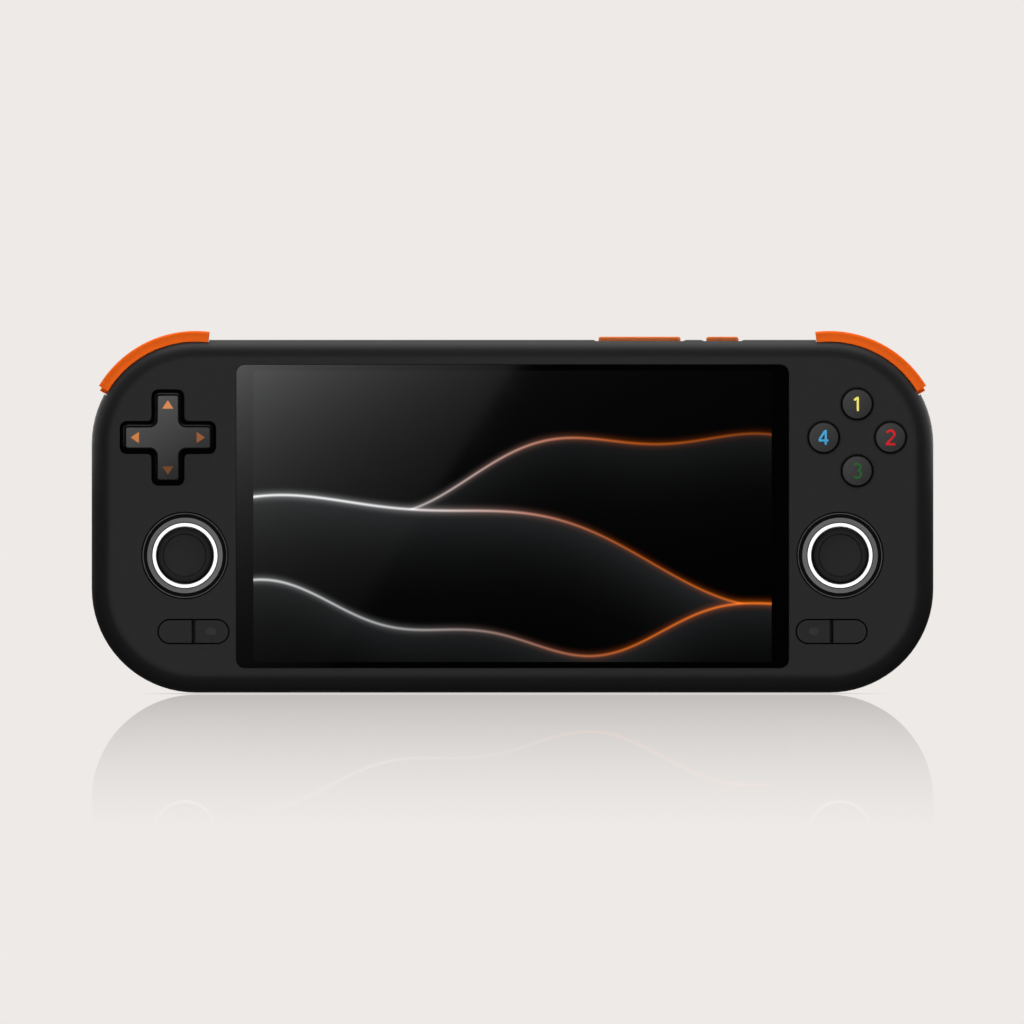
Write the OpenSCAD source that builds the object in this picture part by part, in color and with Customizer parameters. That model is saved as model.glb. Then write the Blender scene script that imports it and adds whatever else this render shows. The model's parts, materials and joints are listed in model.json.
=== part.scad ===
// Handheld game console standing upright, screen toward -Y, millimetres.
// Depths are measured from the front face of the casing toward the back.

/* [Casing] */
// Width of the casing on each side of the glass
wing_w = 34.1; // [33:0.1:36]
// Height of the casing above and below the glass
rim_h = 5.9; // [5.5:0.1:7]
// Thickness of the casing without grips
body_t = 16; // [15.8:0.1:18]
// Corner radius seen from the front
corner_r = 24.5; // [24:0.5:26]
// Rounding of the front edge
front_round = 5; // [4:0.1:5.4]
// Rounding of the back edge
back_round = 5; // [3.5:0.1:5.4]
// Depth of the seam between the two shells
seam_d = 8.5; // [8.4:0.1:8.8]
// Thickness of the side walls
wall = 1.8; // [1.5:0.1:2]
// Thickness of the front wall
front_wall = 2; // [1.9:0.05:2.05]
// Thickness of the back wall
back_wall = 1.6; // [1.2:0.1:1.7]

/* [Screen] */
// Width of the cover glass
glass_w = 129.8; // [120:0.2:140]
// Height of the cover glass
glass_h = 71.2; // [68:0.2:76]
// Thickness of the cover glass
glass_t = 1; // [0.8:0.05:1.1]
// Corner radius of the cover glass
glass_r = 2; // [1:0.1:3]
// Depth of the glass below the face
glass_sink = 0.1; // [0:0.02:0.2]
// Gap round the cover glass
glass_gap = 0.15; // [0.1:0.05:0.3]
// Black border beside the display panel
border_side = 3.6; // [3.5:0.1:6]
// Black border above and below the display panel
border_top = 1; // [0.9:0.1:2.6]
// Thickness of the display panel
panel_t = 1.3; // [1:0.1:1.4]
// Gap round the display panel
panel_gap = 0.2; // [0.1:0.05:0.3]

/* [Direction pad] */
// Place of both control clusters across a wing, as a share of its width from the side edge
cluster_side = 0.528; // [0.515:0.001:0.54]
// Height of both control clusters, as a share of the casing height
cluster_share = 0.723; // [0.716:0.001:0.728]
// Length of the pad over two arms
pad_len = 21.2; // [20:0.2:21.6]
// Width of an arm
pad_arm = 6.3; // [5.6:0.1:6.6]
// Height of the pad above the face
pad_proud = 1.7; // [1:0.1:2.2]
// Edge bevel of the pad
pad_bevel = 0.9; // [0.3:0.05:0.9]
// Gap between pad and casing
pad_gap = 0.75; // [0.7:0.05:0.85]
// Radius of the pivot ball
ball_r = 1.5; // [1.3:0.05:1.6]
// Clearance of the pivot ball
ball_fit = 0.05; // [0.03:0.01:0.1]

/* [Face buttons] */
// Diameter of a round button
button_dia = 7.2; // [6.6:0.1:7.4]
// Distance of each button from the middle of the group
button_ring = 7.85; // [7.6:0.05:8]
// Height of the buttons above the face
button_proud = 1.4; // [1.3:0.1:2]
// Press travel
button_travel = 1.2; // [0.8:0.1:1.25]
// Gap between button and casing
button_gap = 0.27; // [0.2:0.01:0.35]
// Rounding of the button edge
button_round = 0.7; // [0.3:0.1:1]

/* [Menu buttons] */
// Length of a pair of half pills
pill_len = 17; // [15:0.2:17.4]
// Width of a pair
pill_w = 6; // [5:0.1:6.2]
// Place of a pair across a wing, as a share of its width from the side edge
pill_side = 0.704; // [0.69:0.001:0.715]
// Height of a pair, as a share of the casing height
pill_share = 0.1735; // [0.169:0.0005:0.18]
// Gap between the two halves
pill_split = 0.5; // [0.4:0.05:0.8]
// Gap between a half pill and the casing
pill_gap = 0.22; // [0.2:0.01:0.3]
// Height of the half pills above the face
pill_proud = 0.1; // [0:0.05:0.4]
// Press travel of the half pills
pill_travel = 0.4; // [0.2:0.05:0.4]

/* [Sticks] */
// Place of a stick across a wing, as a share of its width from the side edge
stick_side = 0.645; // [0.635:0.001:0.655]
// Height of the sticks, as a share of the casing height
stick_share = 0.389; // [0.386:0.001:0.397]
// Radius of the thumb cap
cap_r = 6.6; // [5.8:0.1:6.6]
// Thickness of the thumb cap
cap_t = 2.2; // [1.9:0.1:2.6]
// Gap between the face and the cap underside
cap_lift = 2.4; // [2.4:0.1:3]
// Dish depth of the cap
cap_dish = 0.7; // [0.3:0.1:0.8]
// Radius of the opening in the casing
well_r = 10.3; // [10.3:0.05:10.5]
// Depth of the gimbal centre
gimbal_d = 6.8; // [6.7:0.05:6.9]
// Side length of the stick module
module_w = 17; // [16.8:0.1:17.4]
// Radius of the stem
stem_r = 1.8; // [1.5:0.05:1.9]
// Sliding clearance of the stem
stem_fit = 0.05; // [0.03:0.01:0.1]
// Radius of the gimbal pins
gimbal_pin_r = 0.8; // [0.6:0.05:0.85]
// Clearance of the gimbal pins
gimbal_fit = 0.05; // [0.03:0.01:0.08]
// Press travel of the stick
stick_click = 0.4; // [0.2:0.05:0.4]

/* [Shoulder buttons] */
// Outer radius of the bumpers
bumper_r = 26.6; // [26:0.1:27.2]
// Radial thickness of the bumpers
bumper_t = 3.2; // [2.6:0.1:3.3]
// Depth where the bumpers begin
bumper_d = 6.2; // [6.1:0.1:6.4]
// Width of the bumpers along the depth
bumper_w = 4.8; // [4.4:0.1:4.9]
// Depth where the front lip of the bumpers begins
lip_d = 2.9; // [2.8:0.05:3.4]
// Radial thickness of the front lip of the bumpers
lip_t = 2.5; // [2.2:0.1:2.5]
// Angle of the lower bumper end above the horizontal
bumper_end = 31; // [30:0.5:34]
// Length of the straight bumper part beside the corner
bumper_run = 3.2; // [2.8:0.1:3.5]
// Outer radius of the triggers
trigger_r = 26; // [25.4:0.1:26.2]
// Radial thickness of the triggers
trigger_t = 4; // [3:0.1:4]
// Depth of the trigger backs
trigger_back = 20; // [19:0.1:20.4]
// Angle of the lower trigger end above the horizontal
trigger_end = 29; // [28.5:0.5:36]
// Gap between bumper and trigger
shoulder_gap = 0.4; // [0.35:0.05:0.6]
// Distance of the shoulder pins from the corner centre
pin_run = 10; // [9.6:0.1:10.4]
// Radius of the shoulder pins
pin_r = 1; // [0.8:0.05:1.1]
// Clearance of the shoulder pins
pin_fit = 0.05; // [0.03:0.01:0.08]
// Outer radius of the hinge eyes
eye_r = 2.6; // [2.4:0.05:2.7]

/* [Top keys] */
// Length of the volume bar
volume_len = 19.3; // [17:0.1:19.6]
// Distance of the volume bar from the corner centre
volume_in = 44.6; // [44.3:0.1:44.9]
// Length of the power button
power_len = 7.6; // [6:0.1:7.8]
// Distance of the power button from the corner centre
power_in = 25.1; // [24.7:0.1:25.3]
// Width of the top keys
key_w = 3; // [2.6:0.1:3.2]
// Height of the top keys above the casing
key_proud = 0.85; // [0.7:0.05:1]
// Depth of the dish round each top key
dish_depth = 0.3; // [0.2:0.05:0.35]
// Reach of the dish past the key ends
dish_run = 1.2; // [1:0.1:1.5]
// Gap round the top keys
key_gap = 0.25; // [0.2:0.05:0.35]
// Press travel of the power button
power_travel = 0.4; // [0.2:0.05:0.4]

/* [Ports] */
// Width of the charging port
usb_w = 8.9; // [8.8:0.1:9.1]
// Height of the charging port
usb_h = 3.3; // [3.2:0.1:3.4]
// Wall of the charging port
usb_wall = 0.3; // [0.2:0.05:0.35]
// Distance of the headphone jack from the middle
jack_x = -14.8; // [-15:0.1:-14.6]
// Radius of the headphone bore
jack_r = 1.8; // [1.75:0.05:1.85]
// Distance of the card slot from the left side
card_in = 52.6; // [52:0.1:53]
// Width of the card slot
card_w = 11.4; // [11.2:0.1:12]
// Height of the card slot
card_h = 1.1; // [0.9:0.05:1.2]
// Depth of the card slot centre
card_d = 3.4; // [3.35:0.05:3.5]

/* [Grips] */
// Width of a grip swell
grip_w = 34; // [30:1:36]
// Height of a grip swell
grip_h = 36; // [30:1:37]
// Projection of a grip swell behind the back
grip_proud = 4.5; // [4.4:0.1:5.5]
// Distance of a grip swell from the side edge
grip_in = 9; // [8.7:0.1:10]
// Distance of a grip swell from the lower edge
grip_up = 9; // [8.7:0.1:10]

/* [Inner parts] */
// Diameter of the blower wheel
wheel_dia = 25; // [22:0.5:26]
// Number of wheel blades
blade_count = 13; // [9:1:17]
// Number of cooling fins
fin_count = 11; // [8:1:12]
// Width of the battery
battery_w = 44; // [38:1:44]
// Distance of the battery from the top edge
battery_down = 11; // [11:0.5:18]
// Distance of the battery from the lower edge
battery_up = 14; // [14:0.5:18]
// Thickness of the battery
battery_t = 5.5; // [4:0.1:6]
// Gap between parts that touch by a screw
screw_fit = 0.03; // [0.02:0.01:0.05]

/* [Hidden] */
$fn = 64;
stick_proud = cap_lift + cap_t;
face_y = stick_proud - (stick_proud + body_t + grip_proud) / 2;
body_w = glass_w + 2 * wing_w;
body_h = glass_h + 2 * rim_h;
panel_w = glass_w - 2 * border_side;
panel_h = glass_h - 2 * border_top;
mid_z = body_h / 2;
top_z = body_h - wall;
cav_d = body_t - back_wall;
corner_x = body_w / 2 - corner_r;
corner_z = body_h - corner_r;
cluster_x = body_w / 2 - cluster_side * wing_w;
cluster_z = cluster_share * body_h;
stick_x = body_w / 2 - stick_side * wing_w;
stick_up = stick_share * body_h;
pill_x = body_w / 2 - pill_side * wing_w;
pill_up = pill_share * body_h;
ledge_d = glass_sink + glass_t;
panel_back = ledge_d + panel_t;
// stack of boards behind the face
board_d = front_wall + 2.8;
board_t = 1;
sheet_d = board_d - 0.4;
frame_d = front_wall + 2.6;
frame_t = 0.8;
main_d = frame_d + frame_t + 0.8;
main_t = 1;
main_back = main_d + main_t;
// direction pad
pad_flange_top = front_wall + 1;
pad_flange_back = pad_flange_top + 0.7;
ball_d = front_wall + 2;
hole_len = pad_len + 2 * pad_gap;
hole_arm = pad_arm + 2 * pad_gap;
// round buttons
button_r = button_dia / 2;
button_hole_r = button_r + button_gap;
button_back = front_wall + 0.9;
// half pills
half_len = (pill_len - 2 * pill_gap - pill_split) / 2;
half_w = pill_w - 2 * pill_gap;
half_back = front_wall + 0.8;
// shoulder pins
pin_x = corner_x - pin_run;
pin_z = top_z - 4;
pocket_r = trigger_r - trigger_t - 3.8;
pocket_end = trigger_end - 10.8;
bumper_back = bumper_d + bumper_w;
lip_pocket_r = bumper_r - lip_t - 0.9;
trigger_d = bumper_back + shoulder_gap;
cut_x = corner_x - bumper_run * corner_r / bumper_r - 0.2;
arm_w = 2.3;
// rear screws, right half: x and z
boss_spots = [[body_w / 2 - 7, 0.608 * body_h], [body_w / 2 - 43, 5.2], [body_w / 2 - 40.4, body_h - 5.4]];
boss_r = 2.4;
// small screw posts on the front wall, right half: x and z
frame_spots = [[0.23 * glass_w, 3.8], [0.035 * glass_w, body_h - 3.8]];
wing_spots = [[cluster_x - 9, cluster_z + 10.2], [body_w / 2 - 6.6, 0.325 * body_h]];
ear_off = 9.6;
post_r = 1.7;
thread_r = 0.8;
// top keys
volume_x = corner_x - volume_in;
power_x = corner_x - power_in;
key_z = body_h + key_proud;
key_flange_top = top_z - 0.5;
strip_z = top_z - 4;
// middle frame and what it carries: battery on the left, blower and main board beside it
frame_half = glass_w / 2 - 1.9;
battery_x = 1 - frame_half;
battery_h = body_h - battery_down - battery_up;
main_x = battery_x + battery_w + 3;
main_w = frame_half - main_x;
main_z = battery_up + 1;
shield_w = 24;
shield_x = frame_half - shield_w - 5;
shield_z = mid_z - 9.5;
// blower, heat pipe and fins
fan_w = 32;
fan_x = battery_x + battery_w + fan_w / 2 + 4;
fan_z = body_h - 29.7;
pipe_w = 5;
pipe_x = shield_x + 9.5;
pipe_z = body_h - 13.5;
sink_w = fan_w - 2;
sink_z = pipe_z + 0.9;
sink_top = strip_z - 0.4;
// screw posts of the main board
main_spots = [for (x = [fan_x + fan_w / 2 + 4, frame_half - 4]) for (z = [main_z + 3, body_h - 15]) [x, z]];
// speakers
speaker_x = 0.2 * glass_w;
speaker_w = 16;
card_x = card_in - body_w / 2;
fan_back = cav_d - 0.5;
wheel_r = wheel_dia / 2;
screw_x = body_w / 2 - 34.8;

// Local frame on the face: x right, y up, z out of the face
module on_face(x = 0, z = 0) {
    translate([x, face_y, z]) rotate([90, 0, 0]) children();
}

// Extrudes a front view outline from depth d0 to depth d1
module slab(d0, d1) {
    translate([0, 0, -d1]) linear_extrude(d1 - d0) children();
}

// Cylinder from depth d0 to depth d1
module post(r, d0, d1) {
    translate([0, 0, -d1]) cylinder(r = r, h = d1 - d0);
}

// Cylinder along the local y direction, centred
module bar_y(r, len) {
    rotate([90, 0, 0]) cylinder(r = r, h = len, center = true);
}

// Cylinder along the local x direction, centred
module bar_x(r, len) {
    rotate([0, 90, 0]) cylinder(r = r, h = len, center = true);
}

module both_sides() {
    children();
    mirror([1, 0, 0]) children();
}

module rounded_rect(w, h, r) {
    square([w - 2 * r, h], center = true);
    square([w, h - 2 * r], center = true);
    for (sx = [-1, 1]) {
        for (sy = [-1, 1]) {
            translate([sx * (w / 2 - r), sy * (h / 2 - r)]) circle(r);
        }
    }
}

module pill(w, h) {
    square([w - h, h], center = true);
    translate([(w - h) / 2, 0]) circle(h / 2);
    translate([(h - w) / 2, 0]) circle(h / 2);
}

// Cross outline with rounded arm ends and rounded inner corners
module cross_outline(len, arm, r_out, r_in) {
    rounded_rect(len, arm, r_out);
    rounded_rect(arm, len, r_out);
    difference() {
        square(arm + 2 * r_in, center = true);
        for (sx = [-1, 1]) {
            for (sy = [-1, 1]) {
                translate([sx * (arm / 2 + r_in), sy * (arm / 2 + r_in)]) circle(r_in);
            }
        }
    }
}

// Edge section: reach outward, depths d0 to d1, rounded at the front by f0 and at the back by f1
module edge_section(reach, d0, d1, f0, f1) {
    difference() {
        translate([0, -d1]) square([reach, d1 - d0]);
        if (f0 > 0) {
            difference() {
                translate([reach - f0, -d0 - f0]) square(f0 + 1);
                translate([reach - f0, -d0 - f0]) circle(f0);
            }
        }
        if (f1 > 0) {
            difference() {
                translate([reach - f1, -d1 - 1]) square(f1 + 1);
                translate([reach - f1, -d1 + f1]) circle(f1);
            }
        }
    }
}

// Carries an edge section round a rounded rectangle w by h with corner radius r
module swept(w, h, r, d0, d1) {
    for (i = [0:3]) {
        a = (i % 2 == 0 ? w : h) / 2 - r;
        b = (i % 2 == 0 ? h : w) / 2 - r;
        rotate([0, 0, 90 * i]) translate([a, b, 0]) {
            rotate_extrude(angle = 90) children();
            rotate([90, 0, 0]) linear_extrude(2 * b) children();
        }
    }
    translate([r - w / 2, r - h / 2, -d1]) cube([w - 2 * r, h - 2 * r, d1 - d0]);
}

// Block with the casing outline, drawn in by inset
module casing_block(inset, d0, d1, f0, f1) {
    on_face(0, mid_z)
        swept(body_w - 2 * inset, body_h - 2 * inset, corner_r - inset, d0, d1)
            edge_section(corner_r - inset, d0, d1, f0, f1);
}

// Casing outline drawn in by inset
module casing_outline(inset) {
    translate([0, mid_z]) rounded_rect(body_w - 2 * inset, body_h - 2 * inset, corner_r - inset);
}

// Ring sector from angle a0 to a1 in the local frame, section given as children
module sector(a0, a1) {
    rotate([0, 0, a0]) rotate_extrude(angle = a1 - a0) children();
}

// Right shoulder pocket between depths, from angle a0, outside radius r
module shoulder_pocket(a0, r, d0, d1) {
    on_face(corner_x, corner_z) {
        sector(a0, 90) translate([r, -d1]) square([16, d1 - d0]);
        translate([cut_x - corner_x, r, -d1]) cube([corner_x - cut_x + 2, 16, d1 - d0]);
    }
}

// Openings of the top keys and the lower ports, cut from both shells
module edge_openings() {
    on_face(0, 0) {
        // shallow dishes round the top keys
        translate([volume_x, body_h, 0]) key_dish(volume_len / 2);
        translate([power_x, body_h, 0]) key_dish(power_len / 2);
        translate([volume_x, body_h, -seam_d]) key_prism(volume_len, key_gap, -6, 4);
        translate([power_x, body_h, -seam_d]) key_prism(power_len, key_gap, -6, 4);
        // charging port
        translate([0, 0, -seam_d]) rotate([90, 0, 0])
            linear_extrude(6, center = true) pill(usb_w + 0.3, usb_h + 0.3);
        // headphone jack
        translate([jack_x, 0, -seam_d]) bar_y(jack_r + 0.9, 6);
        // screws of the lower edge
        both_sides() {
            translate([screw_x, 0, -seam_d]) bar_y(0.8 + screw_fit, 12);
            translate([screw_x, 0, -seam_d]) bar_y(1.4 + screw_fit, 2.2);
        }
    }
}

// Dish across the top edge round a key of half length half, with sloping ends
module key_dish(half) {
    out = half + 1.5 * dish_run;
    in = half + dish_run / 2;
    translate([0, 0, -body_t - 1]) linear_extrude(body_t + 2)
        polygon([[-out, dish_depth], [-in, -dish_depth], [in, -dish_depth], [out, dish_depth]]);
}

// Upright prism of a top key, grown by gap, from y0 up to y1
module key_prism(len, gap, y0, y1) {
    translate([0, y0, 0]) rotate([-90, 0, 0])
        linear_extrude(y1 - y0) pill(len + 2 * gap, key_w + 2 * gap);
}

// Block that takes a screw of the lower edge, half the casing depth
module edge_screw_block(d0, d1) {
    on_face(screw_x, 0) translate([-2.2, 1, -d1]) cube([4.4, 5.2, d1 - d0]);
}

module front_shell() color("#2b2a2b") {
    difference() {
        union() {
            difference() {
                casing_block(0, 0, seam_d, front_round, 0);
                casing_block(wall, front_wall, seam_d + 1, front_round - wall, 0);
            }
            both_sides() {
                on_face() {
                    for (s = boss_spots) {
                        translate([s[0], s[1], 0]) post(boss_r, front_wall - 0.5, seam_d);
                    }
                    for (s = frame_spots) {
                        translate([s[0], s[1], 0]) post(post_r, front_wall - 0.5, frame_d);
                    }
                    for (s = wing_spots) {
                        translate([s[0], s[1], 0]) post(post_r, front_wall - 0.5, board_d);
                    }
                    for (s = [-1, 1]) {
                        translate([stick_x - s * ear_off, stick_up + s * ear_off, 0])
                            post(post_r, front_wall - 0.5, front_wall + 1.4);
                    }
                    translate([pin_x, pin_z, 0]) post(2.2, front_wall - 0.5, bumper_d - 0.3);
                }
                edge_screw_block(front_wall + 1, seam_d);
            }
            // ribs that hold the top switch board
            on_face() {
                for (x = [volume_x - volume_len / 2 - 2.2,
                        (volume_x + volume_len / 2 + power_x - power_len / 2) / 2,
                        power_x + power_len / 2 + 2]) {
                    translate([x - 0.7, strip_z + 1, -seam_d])
                        cube([1.4, top_z - strip_z, seam_d - front_wall - 1.2]);
                }
            }
        }
        // glass pocket and panel window
        on_face(0, mid_z) {
            slab(-1, ledge_d)
                rounded_rect(glass_w + 2 * glass_gap, glass_h + 2 * glass_gap, glass_r + glass_gap);
            slab(0, front_wall + 1) square([panel_w + 2 * panel_gap, panel_h + 2 * panel_gap], center = true);
        }
        // direction pad
        on_face(-cluster_x, cluster_z) slab(-1, front_wall + 1) cross_outline(hole_len, hole_arm, 1.7, 1);
        // round buttons
        on_face(cluster_x, cluster_z) {
            for (i = [0:3]) {
                rotate([0, 0, 90 * i]) translate([button_ring, 0, 0])
                    post(button_hole_r, -1, front_wall + 0.5);
            }
        }
        both_sides() {
            on_face() {
                translate([stick_x, stick_up, 0]) post(well_r, -1, front_wall + 0.6);
                translate([pill_x, pill_up, 0]) slab(-1, front_wall + 1) pill(pill_len, pill_w);
                for (s = boss_spots) {
                    translate([s[0], s[1], 0]) post(1 + screw_fit, front_wall + 1.6, seam_d + 1);
                }
                for (s = concat(frame_spots, wing_spots)) {
                    translate([s[0], s[1], 0]) post(thread_r + screw_fit, front_wall - 0.4, board_d + 1);
                }
                for (s = [-1, 1]) {
                    translate([stick_x - s * ear_off, stick_up + s * ear_off, 0])
                        post(thread_r + screw_fit, front_wall - 0.7, front_wall + 2);
                }
                translate([pin_x, pin_z, 0]) post(pin_r + screw_fit, bumper_d - 2.4, bumper_d + 1);
            }
            shoulder_pocket(bumper_end - 2.5, pocket_r, bumper_d - 0.3, seam_d + 1);
            shoulder_pocket(bumper_end - 2.5, lip_pocket_r, lip_d - 0.15, bumper_d);
        }
        // card slot
        on_face(card_x, 0) translate([0, 0, -card_d]) cube([card_w + 0.3, 8, card_h + 0.2], center = true);
        // microphone
        on_face(5.5, 0) translate([0, 0, -front_round - 1.4]) bar_y(0.4, 6);
        edge_openings();
    }
}

// Solid of a grip swell drawn in by inset, with a hollow fillet at its foot when flare is above zero
module grip_block(inset, d1, flare) {
    w = grip_w - 2 * inset;
    h = grip_h - 2 * inset;
    r = 13 - inset;
    on_face(body_w / 2 - grip_in - grip_w / 2, grip_up + grip_h / 2)
        swept(w, h, r, cav_d - 0.2, d1) {
            union() {
                edge_section(r, cav_d - 0.2, d1, 0, 3.4 - inset);
                if (flare > 0) {
                    difference() {
                        translate([r - 0.2, -body_t - flare]) square([flare + 0.2, flare + 0.3]);
                        translate([r + flare, -body_t - flare + 0.05]) circle(flare);
                    }
                }
            }
        }
}

module rear_shell() color("#2b2a2b") {
    difference() {
        union() {
            difference() {
                union() {
                    casing_block(0, seam_d, body_t, 0, back_round);
                    both_sides() grip_block(0, body_t + grip_proud, 3);
                }
                casing_block(wall, seam_d - 1, cav_d, 0, back_round - wall);
                both_sides() grip_block(1.6, body_t + grip_proud - 1.6, 0);
            }
            both_sides() {
                // inner wall of the shoulder pocket
                on_face(corner_x, corner_z) {
                    sector(pocket_end - 10, 82) translate([pocket_r - 1.5, -body_t + 1])
                        square([2, body_t - 1 - seam_d]);
                    sector(pocket_end - 10, pocket_end + 1.5)
                        polygon([[pocket_r - 0.2, -seam_d], [corner_r - 1, -seam_d],
                            [corner_r - 1, -body_t + 2.4], [corner_r - 2.4, -body_t + 2.4],
                            [corner_r - 2.4, -body_t + 1], [pocket_r - 0.2, -body_t + 1]]);
                }
                on_face() {
                    for (s = boss_spots) {
                        translate([s[0], s[1], 0]) post(boss_r + 0.3, seam_d, body_t - 0.9);
                    }
                    translate([pin_x, pin_z, 0]) post(2.2, trigger_d + arm_w + 0.4, cav_d + 0.4);
                    // rib above the fixed leg of the trigger spring
                    translate([pin_x - 3.7, pin_z - 1.6, -seam_d - 1.2]) cube([1, 6, 1.2]);
                }
                edge_screw_block(seam_d, cav_d - 1.4);
            }
            // rests of the port board
            on_face() {
                for (x = [jack_x - 4.6, 6.4]) {
                    translate([x, 3.2, -cav_d - 0.3]) cube([1.4, 8, cav_d + 0.3 - port_back - port_t]);
                }
            }
        }
        both_sides() {
            shoulder_pocket(pocket_end, pocket_r, seam_d - 1, body_t + 1);
            on_face() {
                for (s = boss_spots) {
                    translate([s[0], s[1], 0]) post(1.1, seam_d - 1, body_t + 1);
                    translate([s[0], s[1], 0]) post(2.1, body_t - 3.4, body_t + 1);
                }
                translate([pin_x, pin_z, 0]) post(pin_r + screw_fit, trigger_d, cav_d + 0.2);
                // sound slots
                for (i = [0:4]) {
                    translate([speaker_x + 2 + 3 * i, 0, -seam_d - 2.4]) rotate([90, 0, 0])
                        linear_extrude(6, center = true) rotate(90) pill(3.4, 1.3);
                }
            }
        }
        on_face() {
            // exhaust slots
            for (i = [0:8]) {
                translate([fan_x - 12.8 + 3.2 * i, body_h, -seam_d - 3]) rotate([90, 0, 0])
                    linear_extrude(8, center = true) rotate(90) pill(4.4, 1.6);
            }
            // intake slots
            for (i = [-4:4]) {
                translate([fan_x, fan_z + 3 * i, 0]) slab(cav_d - 1, body_t + 1)
                    pill(2 * sqrt(14 * 14 - 9 * i * i), 1.7);
            }
        }
        edge_openings();
    }
}

module cover_glass() color("#101012") {
    on_face(0, mid_z) slab(glass_sink, ledge_d) rounded_rect(glass_w, glass_h, glass_r);
}

module display_panel() color("#1a1a1e") {
    on_face(0, mid_z) slab(ledge_d, panel_back) square([panel_w, panel_h], center = true);
}

module mid_frame() color("#9a9da2") {
    on_face() {
        difference() {
            union() {
                translate([-frame_half, 8.2, -frame_d - frame_t])
                    cube([2 * frame_half, body_h - 16.8, frame_t]);
                for (sx = [-1, 1]) {
                    translate([sx * frame_spots[0][0] - 2.6, 2.2, -frame_d - frame_t])
                        cube([5.2, 8, frame_t]);
                    translate([sx * frame_spots[1][0] - 2.6, body_h - 10, -frame_d - frame_t])
                        cube([5.2, 7.8, frame_t]);
                }
                for (s = main_spots) {
                    translate([s[0], s[1], 0]) post(1.9, frame_d + 0.2, main_d);
                }
            }
            both_sides() {
                for (s = frame_spots) {
                    translate([s[0], s[1], 0]) post(thread_r + screw_fit, frame_d - 1, frame_d + 2);
                }
            }
            for (s = main_spots) {
                translate([s[0], s[1], 0]) post(thread_r + screw_fit, frame_d - 1, main_d + 1);
            }
            // openings that save weight
            for (i = [-1:1]) {
                translate([i * 0.635 * frame_half, mid_z, 0]) slab(frame_d - 1, frame_d + frame_t + 1)
                    rounded_rect(0.38 * frame_half, body_h - 47, 4);
            }
        }
    }
}

// Screw with its head bearing at depth d, shank toward the face
module screw_at(d, head_r, head_h, shank_r, len) {
    difference() {
        union() {
            post(head_r, d, d + head_h);
            post(shank_r, d - len, d + 0.1);
        }
        translate([0, 0, -d - head_h]) cube([head_r * 1.2, 0.35, head_h], center = true);
        translate([0, 0, -d - head_h]) cube([0.35, head_r * 1.2, head_h], center = true);
    }
}

module rear_screws() color("#3a3a3d") {
    on_face() both_sides() {
        for (s = boss_spots) {
            translate([s[0], s[1], 0]) screw_at(body_t - 3.4, 1.9, 1.2, 1, body_t - 3.4 - front_wall - 2.2);
        }
    }
}

module edge_screws() color("#3a3a3d") {
    on_face() both_sides() {
        translate([screw_x, 0, -seam_d]) rotate([90, 0, 0]) screw_up();
    }
}

// Short screw of the lower edge, drawn along its own axis
module screw_up() {
    difference() {
        union() {
            translate([0, 0, -1.1]) cylinder(r = 1.4, h = 0.7);
            translate([0, 0, -5.6]) cylinder(r = 0.8, h = 4.6);
        }
        translate([0, 0, -0.4]) cube([1.7, 0.35, 0.7], center = true);
        translate([0, 0, -0.4]) cube([0.35, 1.7, 0.7], center = true);
    }
}

module inner_screws() color("#b9bcc0") {
    on_face() {
        both_sides() {
            for (s = frame_spots) {
                translate([s[0], s[1], 0]) screw_at(frame_d + frame_t, 1.4, 0.7, thread_r, 2.8);
            }
            for (s = wing_spots) {
                translate([s[0], s[1], 0]) screw_at(board_d + board_t, 1.4, 0.7, thread_r, 3.2);
            }
            for (s = [-1, 1]) {
                translate([stick_x - s * ear_off, stick_up + s * ear_off, 0])
                    screw_at(front_wall + 2.2, 1.4, 0.7, thread_r, 2.4);
            }
        }
        for (s = main_spots) {
            translate([s[0], s[1], 0]) screw_at(main_back, 1.4, 0.7, thread_r, 2.2);
        }
    }
}

module main_board() color("#1f5a3c") {
    on_face() {
        difference() {
            translate([main_x, main_z, -main_back]) cube([main_w, body_h - 11 - main_z, main_t]);
            for (s = main_spots) {
                translate([s[0], s[1], 0]) post(thread_r + screw_fit, main_d - 1, main_back + 1);
            }
        }
        // chips and connectors
        translate([main_x + 0.526 * main_w, main_z + 5, -main_back - 1]) cube([12, 9, 1.05]);
        translate([main_x + 0.756 * main_w, main_z + 5, -main_back - 0.9]) cube([8, 8, 0.95]);
        translate([main_x + 0.038 * main_w, main_z + 3, -main_back - 1.4]) cube([9, 4, 1.45]);
        translate([main_x + 0.295 * main_w, main_z + 3, -main_back - 1.2]) cube([6, 6, 1.25]);
    }
}

module chip_shield() color("#c4c6c8") {
    on_face() translate([shield_x, shield_z, -main_back - 1.4]) cube([shield_w, shield_w, 1.4]);
}

module heat_pipe() color("#b8743c") {
    on_face() {
        translate([shield_x + 1, shield_z + 1, -main_back - 2]) cube([shield_w - 2, shield_w - 2, 0.6]);
        translate([0, 0, -main_back - 4]) linear_extrude(2.05) {
            translate([pipe_x, shield_z + 2]) square([pipe_w, pipe_z - shield_z - 5.5]);
            translate([fan_x - 14, pipe_z]) square([pipe_x - 6 - fan_x + 14, pipe_w]);
            // bend
            translate([pipe_x - 6, pipe_z - 6]) intersection() {
                difference() {
                    circle(6 + pipe_w);
                    circle(6);
                }
                translate([0, 2]) square([12, 10]);
            }
            translate([pipe_x, pipe_z - 6]) square([pipe_w, 2.1]);
        }
    }
}

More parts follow.
